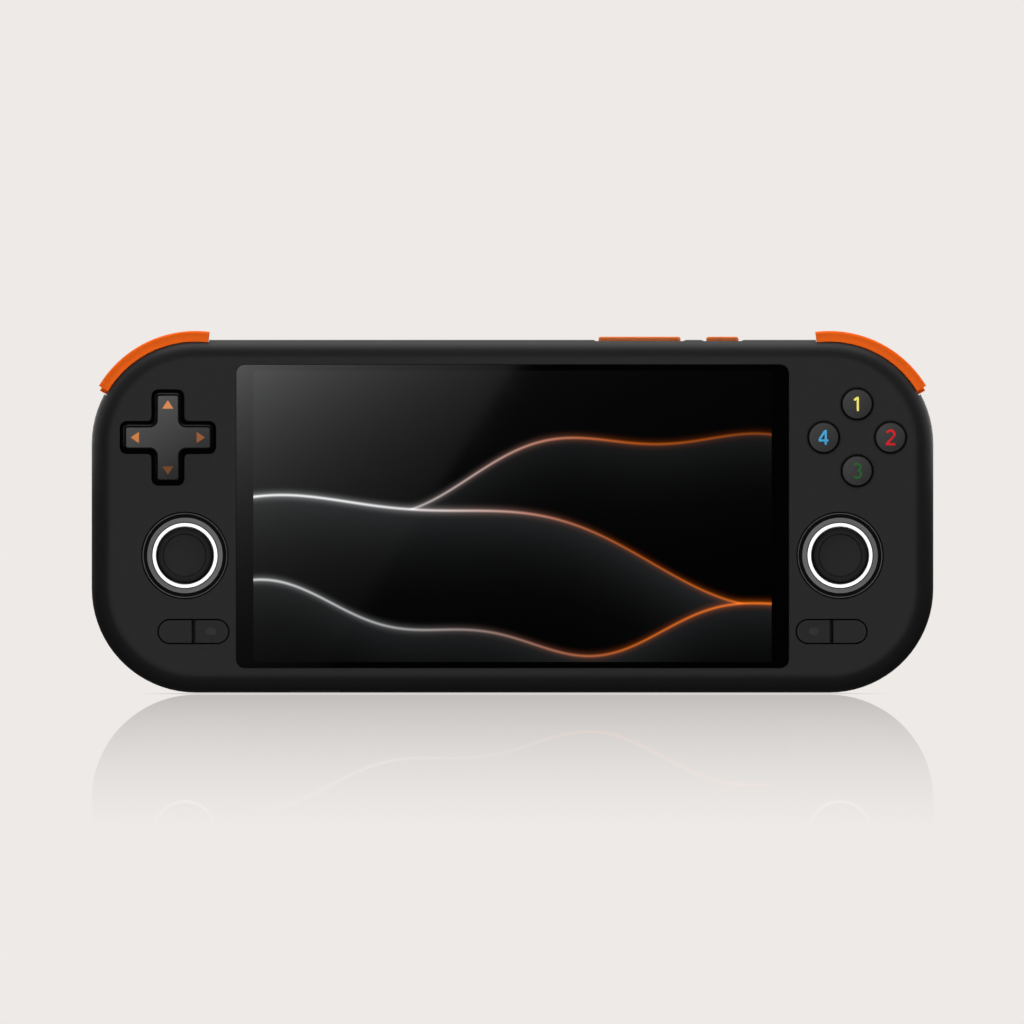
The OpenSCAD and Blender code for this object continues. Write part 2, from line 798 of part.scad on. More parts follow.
module heat_sink() color("#a9adb3") {
    on_face() {
        difference() {
            union() {
                translate([fan_x - sink_w / 2, sink_z, -main_back - 0.8])
                    cube([sink_w, sink_top - sink_z, 0.6]);
                for (i = [0:fin_count - 1]) {
                    x = fan_x - sink_w / 2 + i * (sink_w - 0.5) / (fin_count - 1);
                    translate([x, sink_z, -main_back - 6]) cube([0.5, sink_top - sink_z, 5.3]);
                }
            }
            translate([fan_x - 14.1, pipe_z - 0.1, -main_back - 4.1]) cube([sink_w, pipe_w + 0.2, 2.2]);
        }
    }
}

module fan_housing() color("#26272a") {
    on_face(fan_x, fan_z) {
        difference() {
            slab(main_back, fan_back) rounded_rect(fan_w, fan_w, 4);
            post(wheel_r + 1.4, main_back + 0.8, fan_back - 0.7);
            // air inlet and outlet
            post(wheel_r - 2.5, fan_back - 1, fan_back + 1);
            translate([-wheel_r + 1, 4, -fan_back + 0.7])
                cube([2 * wheel_r - 2, 20, fan_back - main_back - 1.5]);
        }
        post(0.9, main_back + 0.4, fan_back - 1.2);
    }
}

module fan_impeller() color("#1b1c1f") {
    on_face(fan_x, fan_z) {
        difference() {
            union() {
                post(4.5, main_back + 1.3, fan_back - 1.1);
                post(wheel_r, main_back + 1.3, main_back + 1.8);
                for (i = [0:blade_count - 1]) {
                    rotate([0, 0, i * 360 / blade_count]) translate([4, -0.3, -fan_back + 1.1])
                        cube([wheel_r - 4.3, 0.6, fan_back - main_back - 2.5]);
                }
            }
            post(0.95, main_back + 1, fan_back - 1.15);
            post(1.4, fan_back - 1.2, fan_back);
        }
    }
}

module battery() color("#303338") {
    on_face() translate([battery_x, battery_up, -frame_d - frame_t - battery_t])
        cube([battery_w, battery_h, battery_t]);
}

port_back = seam_d + jack_r + 0.9;
port_t = 1;

module port_board() color("#1f5a3c") {
    on_face() translate([jack_x - 5, 2.4, -port_back - port_t]) cube([24, 10.4, port_t]);
}

module usb_port() color("#b0b3b8") {
    on_face(0, 0) {
        translate([0, 0.5, -seam_d]) rotate([-90, 0, 0]) {
            difference() {
                union() {
                    linear_extrude(7.4) pill(usb_w, usb_h);
                    translate([-usb_w / 2, 0, 2.6]) cube([usb_w, port_back - seam_d, 4.8]);
                }
                translate([0, 0, -1]) linear_extrude(7.6) pill(usb_w - 2 * usb_wall, usb_h - 2 * usb_wall);
            }
            translate([0, 0, 0.8]) linear_extrude(6.4) square([usb_w - 2.6, 0.7], center = true);
        }
    }
}

module headphone_jack() color("#1c1c1e") {
    on_face(jack_x, 0) {
        difference() {
            union() {
                translate([0, 0.5, -seam_d]) rotate([-90, 0, 0]) cylinder(r = jack_r + 0.8, h = 12);
                translate([-jack_r - 0.8, 2.4, -port_back])
                    cube([2 * jack_r + 1.6, 10, port_back - seam_d + 2]);
            }
            translate([0, -0.5, -seam_d]) rotate([-90, 0, 0]) cylinder(r = jack_r, h = 12);
        }
    }
}

module card_slot() color("#b0b3b8") {
    on_face(card_x, 0) {
        difference() {
            translate([-card_w / 2 - 1, 3.4, -frame_d])
                cube([card_w + 2, 12.8, frame_d - card_d + card_h / 2 + 0.3]);
            translate([-card_w / 2, 1, -card_d - card_h / 2]) cube([card_w, 14.4, card_h]);
            translate([-card_w / 2 - 2, 1, -frame_d - 1])
                cube([card_w + 4, 7.4, frame_d - card_d - card_h / 2 + 0.4]);
        }
    }
}

module speaker() {
    on_face() {
        difference() {
            translate([speaker_x, 3.8, -cav_d + 0.3]) cube([speaker_w, 9, 5]);
            translate([speaker_x + 2, 1, -seam_d - 4.2]) cube([speaker_w - 4, 5, 3]);
        }
    }
}

module left_speaker() color("#232326") mirror([1, 0, 0]) speaker();

module right_speaker() color("#232326") speaker();

// Outline of the right wing board
module wing_outline() {
    difference() {
        intersection() {
            casing_outline(wall + 0.8);
            translate([pin_x + 3.2, 0]) square([60, body_h]);
            translate([0, 8.4]) square([200, body_h]);
        }
        translate([stick_x, stick_up]) square(module_w + 1, center = true);
        for (s = [-1, 1]) {
            translate([stick_x - s * ear_off, stick_up + s * ear_off]) circle(2.6);
        }
        for (s = wing_spots) {
            translate([s[0], s[1]]) circle(thread_r + screw_fit);
        }
        translate(boss_spots[0]) circle(boss_r + 0.3);
    }
}

// Wing board with the switches of the half pills, right side
module wing_board() {
    on_face() {
        slab(board_d, board_d + board_t) wing_outline();
        for (sx = [-1, 1]) {
            translate([pill_x + sx * (half_len + pill_split) / 2, pill_up, 0]) {
                slab(half_back + pill_travel + 0.5, board_d) square(3.2, center = true);
                post(0.8, half_back + pill_travel + 0.05, board_d);
            }
        }
    }
}

module left_button_board() color("#1f5a3c") {
    difference() {
        union() {
            mirror([1, 0, 0]) wing_board();
            // seat of the pivot ball
            on_face(-cluster_x, cluster_z) post(2.1, ball_d + 0.5, board_d + 0.1);
        }
        on_face(-cluster_x, cluster_z) translate([0, 0, -ball_d]) sphere(ball_r + ball_fit);
    }
}

module right_button_board() color("#1f5a3c") wing_board();

module top_switch_board() color("#1f5a3c") {
    on_face() {
        x0 = volume_x - volume_len / 2 - 3;
        x1 = power_x + power_len / 2 + 2.4;
        translate([x0, strip_z, -seam_d - 2.2]) cube([x1 - x0, 1, 5.8]);
        for (sx = [-1, 1]) {
            translate([volume_x + sx * (volume_len / 2 - 2.6) - 1.4, strip_z + 0.95, -seam_d - 1.3])
                cube([2.8, 0.75, 2.6]);
        }
        translate([power_x - 1.4, strip_z + 0.95, -seam_d - 1.3]) cube([2.8, 0.85, 2.6]);
        // ridge that the volume bar rocks on
        translate([volume_x, strip_z + 1.9, -seam_d]) cylinder(r = 0.7, h = 3, center = true);
        translate([volume_x - 0.6, strip_z + 0.9, -seam_d - 1.5]) cube([1.2, 0.9, 3]);
    }
}

// Bumper switch on its board, right side
module shoulder_board() {
    on_face(corner_x, corner_z) rotate([0, 0, 50]) {
        translate([pocket_r + 0.05, -4.4, -bumper_back]) cube([0.8, 8.8, bumper_back - seam_d - 0.2]);
        translate([pocket_r + 0.8, -1.7, -bumper_back + 0.1]) cube([1.8, 3.4, bumper_back - seam_d - 0.4]);
        translate([pocket_r + 2.5, 0, -(bumper_back + seam_d) / 2]) rotate([0, 90, 0])
            cylinder(r = 0.7, h = bumper_r - bumper_t - pocket_r - 2.5 - 0.95);
    }
}

module left_shoulder_board() color("#1f5a3c") mirror([1, 0, 0]) shoulder_board();

module right_shoulder_board() color("#1f5a3c") shoulder_board();

module dpad() color("#434244") {
    on_face(-cluster_x, cluster_z) {
        difference() {
            union() {
                for (a = [0, 90]) {
                    rotate([0, 0, a]) hull() {
                        slab(-pad_proud, 0)
                            rounded_rect(pad_len - 2 * pad_bevel, pad_arm - 2 * pad_bevel, 0.9, $fn = 32);
                        slab(-pad_proud + pad_bevel, 0) rounded_rect(pad_len, pad_arm, 1.2, $fn = 32);
                    }
                }
                slab(-pad_proud + pad_bevel + 0.2, pad_flange_top + 0.1)
                    cross_outline(pad_len, pad_arm, 1.2, 0.8);
                slab(pad_flange_top, pad_flange_back) cross_outline(pad_len + 2.6, pad_arm + 2.6, 2, 0.8);
                post(2.3, pad_flange_top, ball_d + 0.1);
            }
            translate([0, 0, -ball_d]) sphere(ball_r + ball_fit);
        }
    }
}

module dpad_pivot() color("#c8cacc") {
    on_face(-cluster_x, cluster_z) translate([0, 0, -ball_d]) sphere(ball_r);
}

// Rubber sheet with four domes of radius r and a middle hole
module dome_sheet(ring, r, top, hole) {
    difference() {
        union() {
            post(11.4, sheet_d, board_d);
            for (i = [0:3]) {
                rotate([0, 0, 90 * i]) translate([ring, 0, 0]) post(r, top, sheet_d + 0.1);
            }
        }
        post(hole, top - 1, board_d + 1);
    }
}

module dpad_membrane() color("#5a5a5c") {
    on_face(-cluster_x, cluster_z) dome_sheet(8, 2, pad_flange_back + 0.05, 2.8);
}

module face_button_membrane() color("#5a5a5c") {
    on_face(cluster_x, cluster_z) dome_sheet(button_ring, 2.6, button_back + 0.05, 2);
}

// Round button with its flange, at the group angle a
module face_button(a) {
    on_face(cluster_x, cluster_z) rotate([0, 0, a]) translate([button_ring, 0, 0]) {
        rotate_extrude() {
            intersection() {
                union() {
                    translate([0, -front_wall - 0.5])
                        square([button_r, front_wall + 0.5 + button_proud - button_round]);
                    translate([0, button_proud - button_round - 0.1])
                        square([button_r - button_round, button_round + 0.1]);
                    translate([button_r - button_round, button_proud - button_round]) circle(button_round);
                }
                translate([0, button_proud - 22]) circle(22, $fn = 128);
                translate([0, -20]) square([20, 40]);
            }
            translate([0, -button_back]) square([button_r + 0.9, button_back - front_wall - 0.1]);
        }
        translate([button_r + 0.7, -0.6, -button_back]) cube([0.8, 1.2, button_back - front_wall - 0.1]);
    }
}

module face_button_top() color("#3b3a3c") face_button(90);

module face_button_left() color("#3b3a3c") face_button(180);

module face_button_right() color("#3b3a3c") face_button(0);

module face_button_bottom() color("#3b3a3c") face_button(270);

// Half pill button, right pair, on its outer side
module half_pill() {
    on_face(pill_x, pill_up) {
        slab(-pill_proud, half_back) intersection() {
            pill(pill_len - 2 * pill_gap, half_w);
            translate([pill_split / 2, -10]) square([20, 20]);
        }
        slab(front_wall + 0.1, half_back) intersection() {
            pill(pill_len + 1, pill_w + 1);
            translate([pill_split / 2, -10]) square([20, 20]);
        }
    }
}

// The same on the inner side of the pair
module half_pill_inner() {
    translate([2 * pill_x, 0, 0]) mirror([1, 0, 0]) half_pill();
}

module left_menu_outer() color("#2c2b2c") mirror([1, 0, 0]) half_pill();

module left_menu_inner() color("#2c2b2c") mirror([1, 0, 0]) half_pill_inner();

module right_menu_inner() color("#2c2b2c") half_pill_inner();

module right_menu_outer() color("#2c2b2c") half_pill();

module volume_rocker() color("#b4571c") {
    on_face() {
        difference() {
            union() {
                translate([volume_x, 0, -seam_d]) key_prism(volume_len, 0, key_flange_top - 0.6, key_z);
                translate([volume_x, 0, -seam_d])
                    key_prism(volume_len + 1.6, 0.4, key_flange_top - 0.8, key_flange_top);
                translate([volume_x - 1.6, strip_z + 1.9, -seam_d - 1.5])
                    cube([3.2, key_flange_top - strip_z - 2.5, 3]);
            }
            translate([volume_x, strip_z + 1.9, -seam_d]) cylinder(r = 0.75, h = 8, center = true);
        }
    }
}

module power_button() color("#b4571c") {
    on_face() translate([power_x, 0, -seam_d]) {
        key_prism(power_len, 0, key_flange_top - 0.6, key_z);
        key_prism(power_len, 0.8, key_flange_top - 0.6, key_flange_top + 0.3);
        translate([0, strip_z + 1.8 + power_travel + 0.1, 0]) rotate([-90, 0, 0])
            cylinder(r = 1.1, h = key_flange_top - strip_z - 2.3 - power_travel);
    }
}

// Bumper with its hinge arm, right side
module bumper() {
    on_face() {
        difference() {
            union() {
                translate([corner_x, corner_z, 0])
                    sector(bumper_end, 90 + asin(bumper_run / bumper_r)) bumper_section();
                translate([pin_x, pin_z - 1.3, -bumper_d - arm_w]) cube([pin_run - 0.4, 2.6, arm_w]);
                translate([corner_x - bumper_run + 0.7, pin_z - 1.3, -bumper_d - arm_w])
                    cube([bumper_run - 1.1, corner_z + bumper_r - 1.2 - pin_z + 1.3, arm_w]);
                translate([pin_x, pin_z, 0]) post(eye_r, bumper_d, bumper_d + arm_w);
            }
            translate([pin_x, pin_z, 0]) post(pin_r + pin_fit, bumper_d - 1, bumper_d + arm_w + 1);
        }
    }
}

// Bumper section with rounded outer edges and a thinner lip over the front shell
module bumper_section() {
    difference() {
        translate([bumper_r - bumper_t, 0]) edge_section(bumper_t, lip_d, bumper_back, 0.8, 0.5);
        translate([bumper_r - bumper_t - 1, -bumper_d]) square([bumper_t - lip_t + 1, bumper_d]);
    }
}

module left_bumper() color("#e2580f") mirror([1, 0, 0]) bumper();

module right_bumper() color("#e2580f") bumper();

// Trigger with its hinge arm, right side
module trigger() {
    on_face() {
        difference() {
            union() {
                translate([corner_x, corner_z, 0]) sector(trigger_end, 96) trigger_section();
                translate([pin_x, pin_z - 1.3, -trigger_d - arm_w]) cube([pin_run - 0.4, 2.6, arm_w]);
                translate([corner_x - 2.2, pin_z - 1.3, -trigger_d - arm_w])
                    cube([1.8, corner_z + trigger_r - 1.2 - pin_z + 1.3, arm_w]);
                translate([pin_x, pin_z, 0]) post(eye_r, trigger_d, trigger_d + arm_w);
                // peg on the spring leg
                translate([pin_x + 5.4, pin_z - 0.9, 0]) post(0.5, trigger_d - 0.6, trigger_d + 0.5);
            }
            translate([pin_x, pin_z, 0]) post(pin_r + pin_fit, trigger_d - 1, trigger_d + arm_w + 1);
        }
    }
}

// Trigger section with a rounded back
module trigger_section() {
    translate([trigger_r - trigger_t, 0]) edge_section(trigger_t, trigger_d, trigger_back, 0.5, 2.6);
}

module left_trigger() color("#e2580f") mirror([1, 0, 0]) trigger();

module right_trigger() color("#e2580f") trigger();

module shoulder_pins() color("#c8cacc") {
    both_sides() on_face(pin_x, pin_z) post(pin_r, bumper_d - 2.2, cav_d);
}

// Torsion spring, right side: a coil with two straight legs
coil_r = 1.9;
wire_r = 0.22;
coil_turns = 2;
coil_d0 = bumper_d + arm_w + 0.5;
coil_d1 = trigger_d - 0.45;
coil_steps = 32;
function coil_point(i) = let (a = 270 + i * 360 * coil_turns / coil_steps, t = i / coil_steps)
    [coil_r * cos(a), coil_r * sin(a), -coil_d0 - t * (coil_d1 - coil_d0)];
spring_path = concat([[-3.9, -coil_r, -coil_d0]], [for (i = [0:coil_steps]) coil_point(i)],
    [[7, -coil_r, -coil_d1]]);
function path_dir(i) = let (n = len(spring_path), p = spring_path[max(i - 1, 0)],
    q = spring_path[min(i + 1, n - 1)]) (q - p) / norm(q - p);
function wire_ring(i) = let (t = path_dir(i), w = cross([0, 0, 1], t), u = w / norm(w), v = cross(t, u))
    [for (k = [0:7]) spring_path[i] + wire_r * (cos(45 * k) * u + sin(45 * k) * v)];

module trigger_spring() {
    n = len(spring_path);
    points = [for (i = [0:n - 1]) each wire_ring(i)];
    sides = [for (i = [0:n - 2]) for (k = [0:7])
        [8 * i + k, 8 * i + (k + 1) % 8, 8 * i + 8 + (k + 1) % 8, 8 * i + 8 + k]];
    first = [for (k = [0:7]) 7 - k];
    last = [for (k = [0:7]) 8 * (n - 1) + k];
    on_face(pin_x, pin_z) polyhedron(points, concat(sides, [first, last]));
}

module left_trigger_spring() color("#c8cacc") mirror([1, 0, 0]) trigger_spring();

module right_trigger_spring() color("#c8cacc") trigger_spring();

// Stick module parts, right side
housing_top = front_wall + 1.4;
housing_back = gimbal_d + 4.6;
room_top = housing_top + 0.8;
room_back = housing_back - 0.8;
room_w = module_w - 2.6;

module stick_housing() {
    on_face(stick_x, stick_up) {
        difference() {
            union() {
                slab(housing_top, housing_back) square(module_w, center = true);
                for (s = [-1, 1]) {
                    translate([-s * ear_off, s * ear_off, 0]) post(2.1, housing_top, housing_top + 0.8);
                }
            }
            post(room_w / 2 - 0.3, housing_top - 1, room_top + 1);
            slab(room_top, room_back) square(room_w, center = true);
            translate([0, 0, -gimbal_d]) bar_x(gimbal_pin_r + gimbal_fit, module_w + 2);
            for (s = [-1, 1]) {
                translate([-s * ear_off, s * ear_off, 0])
                    post(thread_r + screw_fit, housing_top - 1, housing_top + 2);
            }
        }
        // press switch
        post(2, room_back - 0.3, room_back + 0.2);
    }
}

module stick_yoke() {
    on_face(stick_x, stick_up) translate([0, 0, -gimbal_d]) {
        difference() {
            union() {
                cube([12.6, 9.6, 2], center = true);
                bar_x(gimbal_pin_r, module_w - 0.6);
            }
            cube([9.4, 6.8, 4], center = true);
            bar_y(gimbal_pin_r - 0.1 + gimbal_fit, 20);
        }
    }
}

module stick_block() {
    on_face(stick_x, stick_up) translate([0, 0, -gimbal_d]) {
        difference() {
            union() {
                cube([5.8, 6.2, 2.4], center = true);
                bar_y(gimbal_pin_r - 0.1, 9.4);
            }
            cylinder(r = stem_r + stem_fit, h = 8, center = true);
        }
    }
}

module stick_stem() {
    on_face(stick_x, stick_up) post(stem_r, -cap_lift - 0.6, gimbal_d + 2.5);
}

// Thumb cap: dished disc, hub and dust dome
module stick_cap() {
    rim = 0.6;
    top = cap_lift + cap_t;
    dish_r = cap_r - 1.2;
    dish_big = (dish_r * dish_r + cap_dish * cap_dish) / (2 * cap_dish);
    dome = gimbal_d - 0.8;
    on_face(stick_x, stick_up) rotate_extrude() {
        difference() {
            union() {
                translate([0, cap_lift]) square([cap_r - rim, cap_t]);
                translate([0, cap_lift + rim]) square([cap_r, cap_t - 2 * rim]);
                translate([cap_r - rim, cap_lift + rim]) circle(rim);
                translate([cap_r - rim, top - rim]) circle(rim);
                translate([0, -1.2]) square([stem_r + 1.2, cap_lift + 1.4]);
                intersection() {
                    difference() {
                        translate([0, -gimbal_d]) circle(dome);
                        translate([0, -gimbal_d]) circle(dome - 0.8);
                    }
                    polygon([[0.6, -gimbal_d + 0.6], [8, -gimbal_d + 8], [0.6, 4]]);
                }
            }
            translate([0, top + dish_big - cap_dish]) circle(dish_big, $fn = 128);
            translate([dish_r - 0.4, top - 0.3]) square([0.25, 1]);
            translate([-1, -gimbal_d]) square([1 + stem_r, gimbal_d + cap_lift + 0.6]);
            translate([-40, -40]) square([40, 80]);
        }
    }
}

// Light ring seated behind the well opening
module light_ring() {
    on_face(stick_x, stick_up) rotate_extrude() {
        translate([cap_r + 0.15, -housing_top])
            square([well_r - 1.4 - cap_r, housing_top - front_wall + 0.4]);
        translate([cap_r + 0.15, -front_wall]) square([0.95, 0.45]);
        translate([well_r - 1.35, -housing_top]) square([1.15, housing_top - front_wall - 0.1]);
        translate([well_r - 0.55, -front_wall - 0.5]) square([0.35, 1.2]);
        translate([well_r - 0.55, -housing_top]) square([1.5, housing_top - front_wall]);
    }
}

module left_stick_housing() color("#5c5f63") mirror([1, 0, 0]) stick_housing();

module right_stick_housing() color("#5c5f63") stick_housing();

module left_light_ring() color("#e9e9e6") mirror([1, 0, 0]) light_ring();

module right_light_ring() color("#e9e9e6") light_ring();

module left_stick_yoke() color("#d8d8d4") mirror([1, 0, 0]) stick_yoke();

module right_stick_yoke() color("#d8d8d4") stick_yoke();

module left_stick_block() color("#8a8d92") mirror([1, 0, 0]) stick_block();

module right_stick_block() color("#8a8d92") stick_block();

module left_stick_stem() color("#d8d8d4") mirror([1, 0, 0]) stick_stem();

module right_stick_stem() color("#d8d8d4") stick_stem();

module left_stick_cap() color("#151516") mirror([1, 0, 0]) stick_cap();

module right_stick_cap() color("#151516") stick_cap();

front_shell();
rear_shell();
cover_glass();
display_panel();
mid_frame();
rear_screws();
edge_screws();
inner_screws();
main_board();
chip_shield();
heat_pipe();
heat_sink();
fan_housing();
fan_impeller();
battery();
port_board();
usb_port();
headphone_jack();
card_slot();
left_speaker();
right_speaker();
left_button_board();
right_button_board();
top_switch_board();
left_shoulder_board();
right_shoulder_board();
dpad();
dpad_pivot();
dpad_membrane();
face_button_membrane();
face_button_top();
face_button_left();
face_button_right();
face_button_bottom();
left_menu_outer();
left_menu_inner();
right_menu_inner();
right_menu_outer();
volume_rocker();
power_button();
left_bumper();
right_bumper();
left_trigger();
right_trigger();
shoulder_pins();
left_trigger_spring();
right_trigger_spring();
left_stick_housing();
right_stick_housing();
left_light_ring();
right_light_ring();
left_stick_yoke();
right_stick_yoke();
left_stick_block();
right_stick_block();
left_stick_stem();
right_stick_stem();
left_stick_cap();
right_stick_cap();
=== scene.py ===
"""Looks of the handheld game console: finishes, moulded caps, soft pieces, marks, studio, camera.

Lengths in this file are millimetres unless a name ends in _m; the frame itself is in metres.
"""

import json
import math

import bmesh
import bpy
import numpy as np
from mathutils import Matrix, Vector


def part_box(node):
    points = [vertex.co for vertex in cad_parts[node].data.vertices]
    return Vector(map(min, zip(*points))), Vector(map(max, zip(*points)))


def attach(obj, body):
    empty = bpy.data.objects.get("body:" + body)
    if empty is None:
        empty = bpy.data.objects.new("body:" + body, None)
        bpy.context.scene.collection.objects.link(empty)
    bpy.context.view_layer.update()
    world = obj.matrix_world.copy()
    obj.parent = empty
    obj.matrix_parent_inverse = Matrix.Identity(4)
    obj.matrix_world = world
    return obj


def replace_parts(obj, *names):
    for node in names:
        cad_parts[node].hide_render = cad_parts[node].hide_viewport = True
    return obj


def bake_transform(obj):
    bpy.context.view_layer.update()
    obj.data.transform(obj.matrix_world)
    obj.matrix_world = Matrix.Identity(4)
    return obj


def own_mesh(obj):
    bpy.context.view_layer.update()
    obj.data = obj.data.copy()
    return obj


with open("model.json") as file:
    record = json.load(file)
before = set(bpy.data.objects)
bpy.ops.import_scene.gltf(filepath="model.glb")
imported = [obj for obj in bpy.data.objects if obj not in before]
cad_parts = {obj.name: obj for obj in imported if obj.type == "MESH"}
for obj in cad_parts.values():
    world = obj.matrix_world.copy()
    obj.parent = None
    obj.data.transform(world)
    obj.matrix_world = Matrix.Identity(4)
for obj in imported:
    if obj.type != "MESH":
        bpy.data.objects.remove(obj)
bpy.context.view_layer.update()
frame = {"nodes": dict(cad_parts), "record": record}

MM = 0.001
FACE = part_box("front_shell")[0].y / MM  # y of the front face
PALE = (0.855, 0.823, 0.799)  # backdrop and floor
CORNER, FLAT_R = (74.5, 58.5), 19.5  # x, z of the upper corner's middle; radius of the flat there
MIDDLE = 41.5  # half the height of the casing
PAD_PROUD, BUTTON_PROUD, MENU_PROUD = 1.7, 1.4, 0.1  # heights above the face
EYE_M, EYE_HEIGHT_M = 5.3564, 0.0425  # camera in front of the object and above the floor


def middle(node):
    """x and z of the middle of a solid's box."""
    lo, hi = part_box(node)
    return (lo.x + hi.x) / 2 / MM, (lo.z + hi.z) / 2 / MM


BUTTONS = ("top", "right", "bottom", "left")
HUB = np.mean([middle("face_button_" + name) for name in BUTTONS], axis=0)
BUTTON_RING = 7.85  # from the hub to the middle of each round button


# ---------------------------------------------------------------- node fields

def put(tree, socket, value):
    """Sets a socket to a constant, or links a field to it."""
    if isinstance(value, Field):
        tree.links.new(value.socket, socket)
    else:
        socket.default_value = value


class Field:
    """A quantity that varies over a surface: the output socket of a shader node, with
    arithmetic."""

    def __init__(self, tree, socket):
        self.tree, self.socket = tree, socket

    def math(self, operation, *others):
        node = self.tree.nodes.new("ShaderNodeMath")
        node.operation = operation
        for socket, value in zip(node.inputs, (self,) + others):
            put(self.tree, socket, value)
        return Field(self.tree, node.outputs[0])

    def __add__(self, other):
        return self.math("ADD", other)

    def __sub__(self, other):
        return self.math("SUBTRACT", other)

    def __mul__(self, other):
        return self.math("MULTIPLY", other)

    def __truediv__(self, other):
        return self.math("DIVIDE", other)

    def __pow__(self, other):
        return self.math("POWER", other)

    def flip(self):
        """One minus the field."""
        return (self * -1.0) + 1.0

    def ramp(self, low, high, smooth=True):
        """0 below low, 1 above high, an S curve or a straight line between; low may be the
        larger."""
        node = self.tree.nodes.new("ShaderNodeMapRange")
        node.interpolation_type = "SMOOTHSTEP" if smooth else "LINEAR"
        put(self.tree, node.inputs["Value"], self)
        put(self.tree, node.inputs["From Min"], low)
        put(self.tree, node.inputs["From Max"], high)
        return Field(self.tree, node.outputs["Result"])

    def bell(self, width):
        """exp(-(f / width)^2), a soft line of that half width where the field is zero."""
        scaled = self / width
        return (scaled * scaled * -1.0).math("EXPONENT")


class Skin:
    """One material under construction: its Principled shader and the coordinates of the piece."""

    def __init__(self, name, tree=None):
        if tree is None:
            self.material = bpy.data.materials.new(name)
            self.material.use_nodes = True
            tree = self.material.node_tree
        self.tree = tree
        self.shader = tree.nodes.get("Principled BSDF")
        self._xyz = None

    def node(self, kind, **settings):
        node = self.tree.nodes.new(kind)
        for key, value in settings.items():
            setattr(node, key, value)
        return node

    def spot(self, output="Object"):
        if self._xyz is None:
            self._xyz = self.node("ShaderNodeTexCoord").outputs[output]
        return self._xyz

    def axes(self, scale=1 / MM, output="Object"):
        """x, y, z of the surface point, in millimetres unless another scale is given."""
        grow = self.node("ShaderNodeVectorMath", operation="SCALE")
        self.tree.links.new(self.spot(output), grow.inputs[0])
        grow.inputs["Scale"].default_value = scale
        split = self.node("ShaderNodeSeparateXYZ")
        self.tree.links.new(grow.outputs[0], split.inputs[0])
        return [Field(self.tree, socket) for socket in split.outputs]

    def noise(self, size, detail=2.0, stretch=(1, 1, 1)):
        """Soft noise, 0 to 1, whose lumps are about that many millimetres, longer along a stretched
        axis."""
        place = self.node("ShaderNodeMapping")
        self.tree.links.new(self.spot(), place.inputs["Vector"])
        place.inputs["Scale"].default_value = [1 / (MM * size * s) for s in stretch]
        noise = self.node("ShaderNodeTexNoise")
        self.tree.links.new(place.outputs[0], noise.inputs["Vector"])
        noise.inputs["Scale"].default_value = 1.0
        noise.inputs["Detail"].default_value = detail
        return Field(self.tree, noise.outputs[0])

    def cells(self, size):
        """Distance from the nearest of scattered points, 0 at a point, cells about that size."""
        cell = self.node("ShaderNodeTexVoronoi")
        self.tree.links.new(self.spot(), cell.inputs["Vector"])
        cell.inputs["Scale"].default_value = 1 / (MM * size)
        return Field(self.tree, cell.outputs["Distance"])

    def mix(self, share, first, second):
        """Colour that goes from first to second as share goes from 0 to 1."""
        node = self.node("ShaderNodeMix", data_type="RGBA")
        put(self.tree, node.inputs[0], share)
        for socket, value in ((node.inputs[6], first), (node.inputs[7], second)):
            put(self.tree, socket, value if isinstance(value, Field) else (*value, 1.0))
        return Field(self.tree, node.outputs[2])

    def shade(self, colour, amount):
        """A constant colour times a field."""
        node = self.node("ShaderNodeVectorMath", operation="SCALE")
        node.inputs[0].default_value = colour
        put(self.tree, node.inputs["Scale"], amount)
        return Field(self.tree, node.outputs[0])

    def set(self, **values):
        """Sets shader sockets: base_color, roughness and so on."""
        names = {"base_color": "Base Color", "roughness": "Roughness", "metallic": "Metallic",
                 "specular": "Specular IOR Level", "ior": "IOR", "glow": "Emission Color",
                 "glow_strength": "Emission Strength"}
        for key, value in values.items():
            if key in ("base_color", "glow") and not isinstance(value, Field):
                value = (*value, 1.0)
            put(self.tree, self.shader.inputs[names[key]], value)
        return self

    def bump(self, height, depth):
        """Relief: a field of height 0 to 1 stands for that depth in millimetres."""
        node = self.node("ShaderNodeBump")
        node.inputs["Distance"].default_value = depth * MM
        put(self.tree, node.inputs["Height"], height)
        self.tree.links.new(node.outputs[0], self.shader.inputs["Normal"])
        return self


# ---------------------------------------------------------------- finishes

CLOUD, GRAIN, RELIEF = 14.0, 0.28, 0.012  # lumps of the clouding and of the grain, depth of the grain
SHELL_TONE, SHELL_TINT, SHELL_SHINE = 0.0108, (1.03, 0.985, 1.0), 0.07


def speckle(cloud, fine):
    """Level of a moulded colour: about one, with slow clouding and fine speckle."""
    return cloud * 0.16 + fine * 0.22 + 0.81


def scatter(cloud, fine):
    """What clouding and grain add to the roughness of a moulded skin."""
    return fine * 0.14 + cloud * 0.06


def moulded(name, tone, tint, rough, specular, grain=GRAIN, relief=RELIEF):
    """Spark-eroded plastic: a tone with slow clouding, fine speckle in colour and roughness, a
    grained skin."""
    skin = Skin(name)
    cloud, fine = skin.noise(CLOUD), skin.noise(grain, 3.0)
    skin.set(base_color=skin.shade(tint, speckle(cloud, fine) * tone),
             roughness=scatter(cloud, fine) + (rough - 0.1), specular=specular)
    return skin.bump(fine, relief)


def from_buttons(x, z):
    """Across and up from the middle of the nearest round button, and the distance; the four stand
    in a cross."""
    a, b = x - float(HUB[0]), z - float(HUB[1])
    sideways = (a.math("ABSOLUTE") - b.math("ABSOLUTE")).math("GREATER_THAN", 0.0)
    across = a - a.math("SIGN") * sideways * BUTTON_RING
    up = b - b.math("SIGN") * sideways.flip() * BUTTON_RING
    return across, up, (across * across + up * up).math("SQRT")


